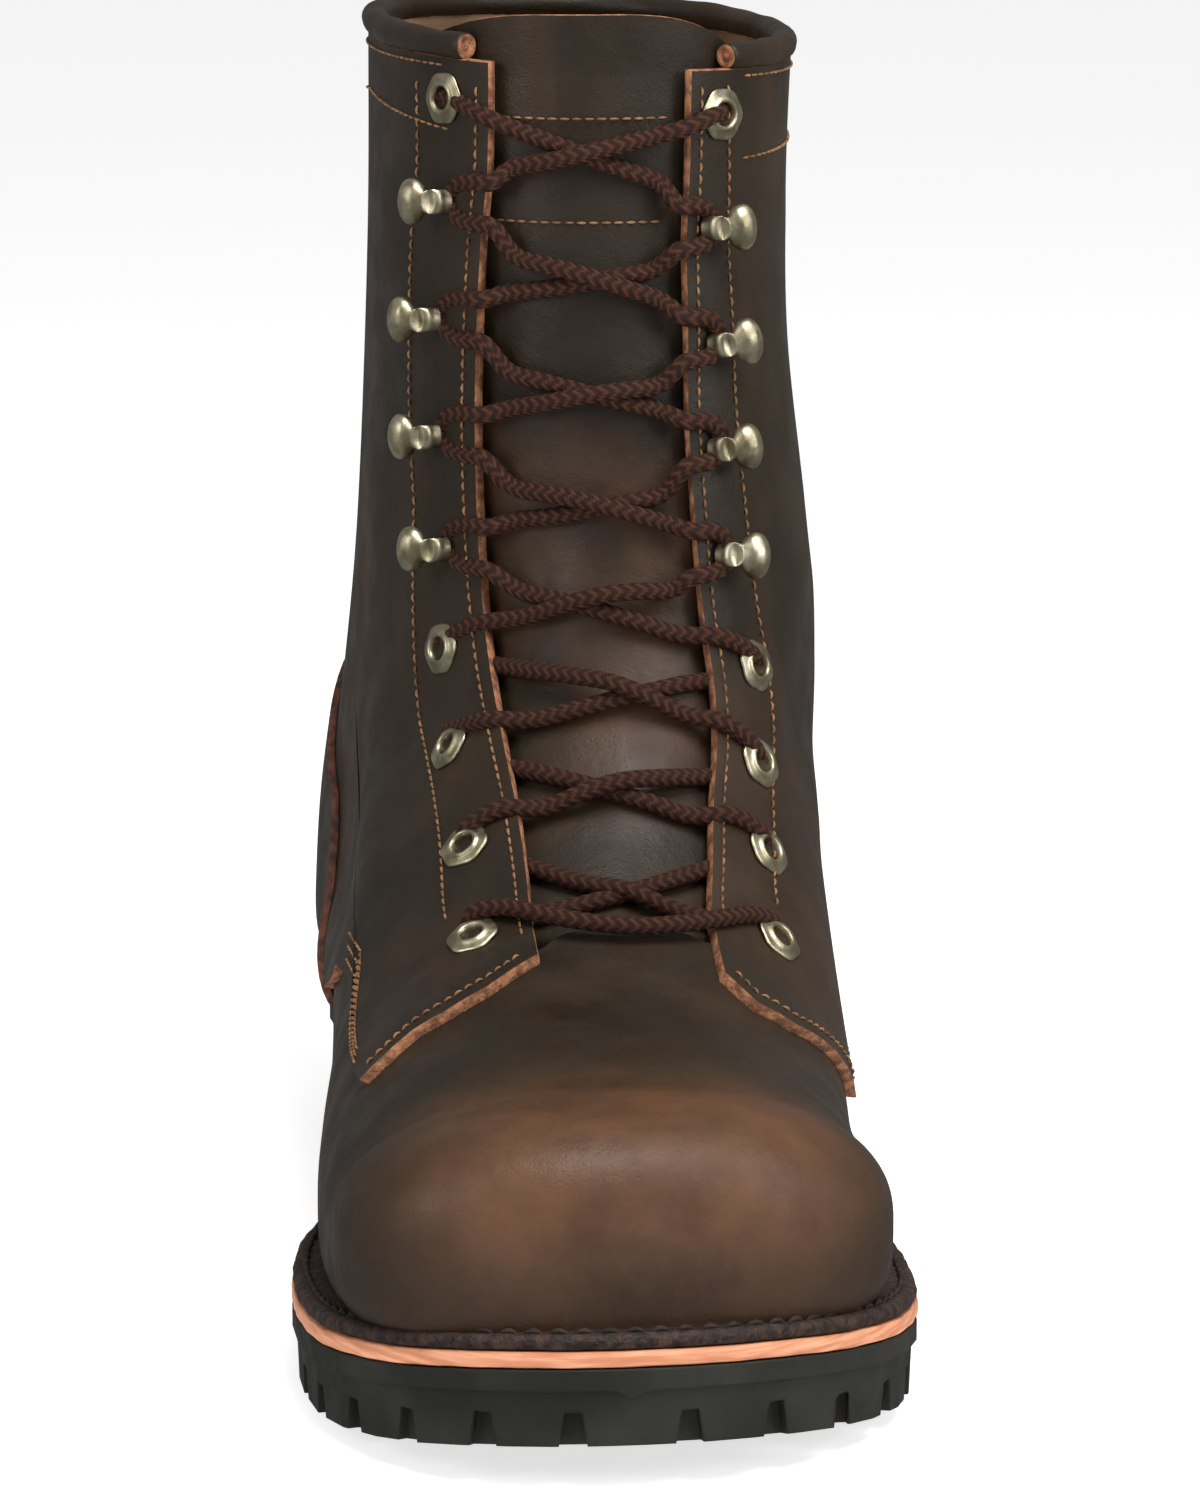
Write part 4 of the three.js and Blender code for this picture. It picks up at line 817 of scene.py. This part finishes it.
def cross_over(sign, index, lift, under, bow):
    """Lace from a flap over its edge and the tongue to the other side: the height is gained early, as a
    power of the share still left; it ends under the other flap, or on it."""
    (x0, z0), (x1, z1) = stations[sign, index], stations[-sign, index - 1]
    hook_from, hook_to = station_kind[index] == "hook", station_kind[index - 1] == "hook"
    bow = 1.0 if hook_from else bow
    z0, z1 = z0 + (4.2 if hook_from else 1.0), z1 - (5.0 if hook_to else 0.5)
    for share in (0.12, 0.26, 0.38, 0.5, 0.62, 0.74, 0.88):
        if (hook_from and share < 0.2) or (hook_to and share > 0.8):
            continue
        x = x0 + (x1 - x0) * share
        z = z0 + (z1 - z0) * (1 - (1 - share) ** bow)
        own, other = abs(flap_edge(z, sign) - x0), abs(flap_edge(z, -sign) - x0)
        gone = abs(x - x0)
        on_own = 1 - np.clip((gone - own + 1.5) / 6, 0, 1)
        on_other = np.clip((gone - other + 5.5) / 6, 0, 1)
        middle = -0.7 + lift * math.exp(-((share - 0.5) / 0.2) ** 2)
        end = -2.2 if under else 4.3
        out = middle + (4.3 - middle) * on_own + (end - middle) * on_other
        path.append((x, z, out))


def round_hook(sign, index):
    """Lace in from below, round the hook's neck under its ball, and out above."""
    x, z = stations[sign, index]
    for off, rise in ((-11, -4.6), (-7.6, -4.4), (-4.8, -3.2), (-3.6, 0), (-4.8, 3.2), (-7.6, 4.2),
                      (-11, 4.2)):
        path.append((x + sign * off, z + rise, 4.1))


def half_lace(sign, lift):
    """One half of the lace from its lowest eyelet to the top one of the same side."""
    (x0, z0), (x1, z1) = stations[sign, 8], stations[-sign, 7]
    eyelet_to(sign, 8, False)
    for share in (0.2, 0.35, 0.5, 0.65, 0.8):
        out = -1.1 + 0.8 * (share in (0.35, 0.5, 0.65)) + lift * 0.5 * (share == 0.5)
        path.append((x0 + (x1 - x0) * share, z0 + (z1 - z0) * share + 1.5, out))
    side_now = -sign
    for index in range(7, 0, -1):
        if station_kind[index] == "eyelet":
            eyelet_to(side_now, index, True)
        else:
            round_hook(side_now, index)
        under = station_kind[index - 1] == "eyelet" and index > 1
        cross_over(side_now, index, lift, under, 2.6 if sign > 0 else 2.0)
        side_now = -side_now
    eyelet_to(side_now, 0, False)


half_lace(-1, 0.2)
left_half = path[::-1]
path = []
half_lace(1, 3.4)
right_half = path
(x0, z0), (x1, z1) = stations[-1, 8], stations[1, 8]
bar = [(x0 + (x1 - x0) * share, z0 + (z1 - z0) * share + 1.6, out) for share, out in
       ((0.1, 4.6), (0.2, 4.4), (0.35, 3.6), (0.5, 3.2), (0.65, 3.6), (0.8, 4.4), (0.9, 4.6))]
points = np.array(left_half + bar + right_half)
lace_place, lace_turn = front_spot(points[:, 0], np.minimum(points[:, 1], 239.5), 0.0)
spine = skin(lace_place, lace_turn, points[:, 2])
spine[:, 0] = points[:, 0]
gone = np.concatenate([[0], np.cumsum(np.maximum(np.linalg.norm(np.diff(spine, axis=0), axis=1), 0.05))])
lace_step = 0.55
steps = np.arange(0, gone[-1], lace_step)
line = np.stack([through(spine[:, k], gone, steps) for k in range(3)], 1)
for _ in range(6):
    line[1:-1] = (line[:-2] + 2 * line[1:-1] + line[2:]) / 4
flow = np.gradient(line, axis=0)
flow /= np.linalg.norm(flow, axis=1, keepdims=True)
normal = np.zeros_like(flow)
normal[0] = np.cross(flow[0], [0.3, 0.1, 1.0])
for i in range(1, len(flow)):
    carried = normal[i - 1] - flow[i] * (normal[i - 1] @ flow[i])
    normal[i] = carried / np.linalg.norm(carried)
binormal = np.cross(flow, normal)
angles = np.linspace(0, 2 * math.pi, 21)[:-1]
walked = np.arange(len(line)) * lace_step
plait = np.abs((4 * angles[None, :] / math.pi) % 2 - 1) * math.pi
braid = (np.sin(2 * math.pi * walked[:, None] / 2.3 + plait * 1.3)
         * (0.75 + 0.25 * np.cos(4 * angles))[None, :])
radius = lace_radius * (0.95 + 0.055 * braid)
tube = (line[:, None] + radius[..., None] * (np.cos(angles)[None, :, None] * normal[:, None]
        + np.sin(angles)[None, :, None] * binormal[:, None]))
lace_look, tree, shader, place = material("lace cord")
# Painted shade: the cord is coloured darker in the braid's grooves and lighter on its raised strands, from the
# braid's waves.
braid_groove_shade = node(tree, "ShaderNodeAttribute", attribute_name="braid_groove_shade").outputs["Fac"]
tree.links.new(blend(tree, ramp(tree, braid_groove_shade, -0.4, 0.9), colour(44, 25, 18), colour(80, 50, 37)),
               shader.inputs["Base Color"])
shader.inputs["Roughness"].default_value = 0.85
shader.inputs["Specular IOR Level"].default_value = 0.2
tree.links.new(bump(tree, noise(tree, place, 2400, 3), 0.6, 0.0004), shader.inputs["Normal"])
points, faces = capped(tube)
# The braid's waves go along as the painted shade of its grooves.
show("lace", points, faces, [lace_look],
     ("lace_bar", *[f"lace_cross_{i}" for i in range(1, 9)]), groove_shade_values=braid.ravel())

# Stage: a pale floor and wall, wide soft lights above and at both sides, and the photo's camera, a long
# lens a little to the inner side and 11 degrees above the toe.
data = bpy.data.meshes.new("floor")
data.from_pydata([(-8, -8, 0), (8, -8, 0), (8, 8, 0), (-8, 8, 0)], [], [(0, 1, 2, 3)])
floor = bpy.data.objects.new("floor", data)
floor_look, tree, shader, place = material("floor")
shader.inputs["Base Color"].default_value = (0.85, 0.85, 0.85, 1)
shader.inputs["Roughness"].default_value = 1.0
shader.inputs["Specular IOR Level"].default_value = 0.0
shader.inputs["Emission Color"].default_value = (1, 1, 1, 1)
shader.inputs["Emission Strength"].default_value = 0.7
data.materials.append(floor_look)
bpy.context.scene.collection.objects.link(floor)
world = bpy.data.worlds.new("studio")
world.use_nodes = True
world.node_tree.nodes["Background"].inputs[0].default_value = (1, 1, 1, 1)
world.node_tree.nodes["Background"].inputs[1].default_value = 0.22
bpy.context.scene.world = world
wall_data = bpy.data.meshes.new("wall")
wall_data.from_pydata([(-8, 4, -1), (8, 4, -1), (8, 4, 8), (-8, 4, 8)], [], [(0, 1, 2, 3)])
wall = bpy.data.objects.new("wall", wall_data)
wall_look, tree, shader, place = material("wall")
shader.inputs["Base Color"].default_value = (0, 0, 0, 1)
shader.inputs["Emission Color"].default_value = (1, 1, 1, 1)
shader.inputs["Emission Strength"].default_value = 1.05
wall_data.materials.append(wall_look)
bpy.context.scene.collection.objects.link(wall)
for shown in (wall, floor):
    shown.visible_glossy = False
wall.visible_diffuse = False
for label, spot, aim, size, power in (("top", (0.25, -0.60, 1.2), (0, -0.15, 0.1), 0.7, 13),
                                      ("left", (-0.9, -0.7, 0.6), (0, -0.1, 0.12), 0.5, 3.0),
                                      ("right", (0.9, -0.9, 0.6), (0, -0.1, 0.1), 0.5, 4.0)):
    light = bpy.data.lights.new(label, "AREA")
    light.shape, light.size, light.energy = "SQUARE", size, power
    lamp = bpy.data.objects.new(label, light)
    lamp.location = spot
    way = np.array(aim) - np.array(spot)
    lamp.rotation_euler = (math.acos(-way[2] / np.linalg.norm(way)), 0, math.atan2(-way[0], way[1]))
    bpy.context.scene.collection.objects.link(lamp)
lens = bpy.data.cameras.new("camera")
lens.sensor_width, lens.lens, lens.sensor_fit = 36, 158.4, "AUTO"
lens.clip_start, lens.clip_end = 0.05, 50
camera = bpy.data.objects.new("camera", lens)
camera.location = (-0.1489, -1.4023, 0.358)
camera.rotation_euler = (math.radians(79), 0, math.radians(-7))
bpy.context.scene.collection.objects.link(camera)
bpy.context.scene.camera = camera
bpy.context.scene.view_settings.view_transform = "Standard"
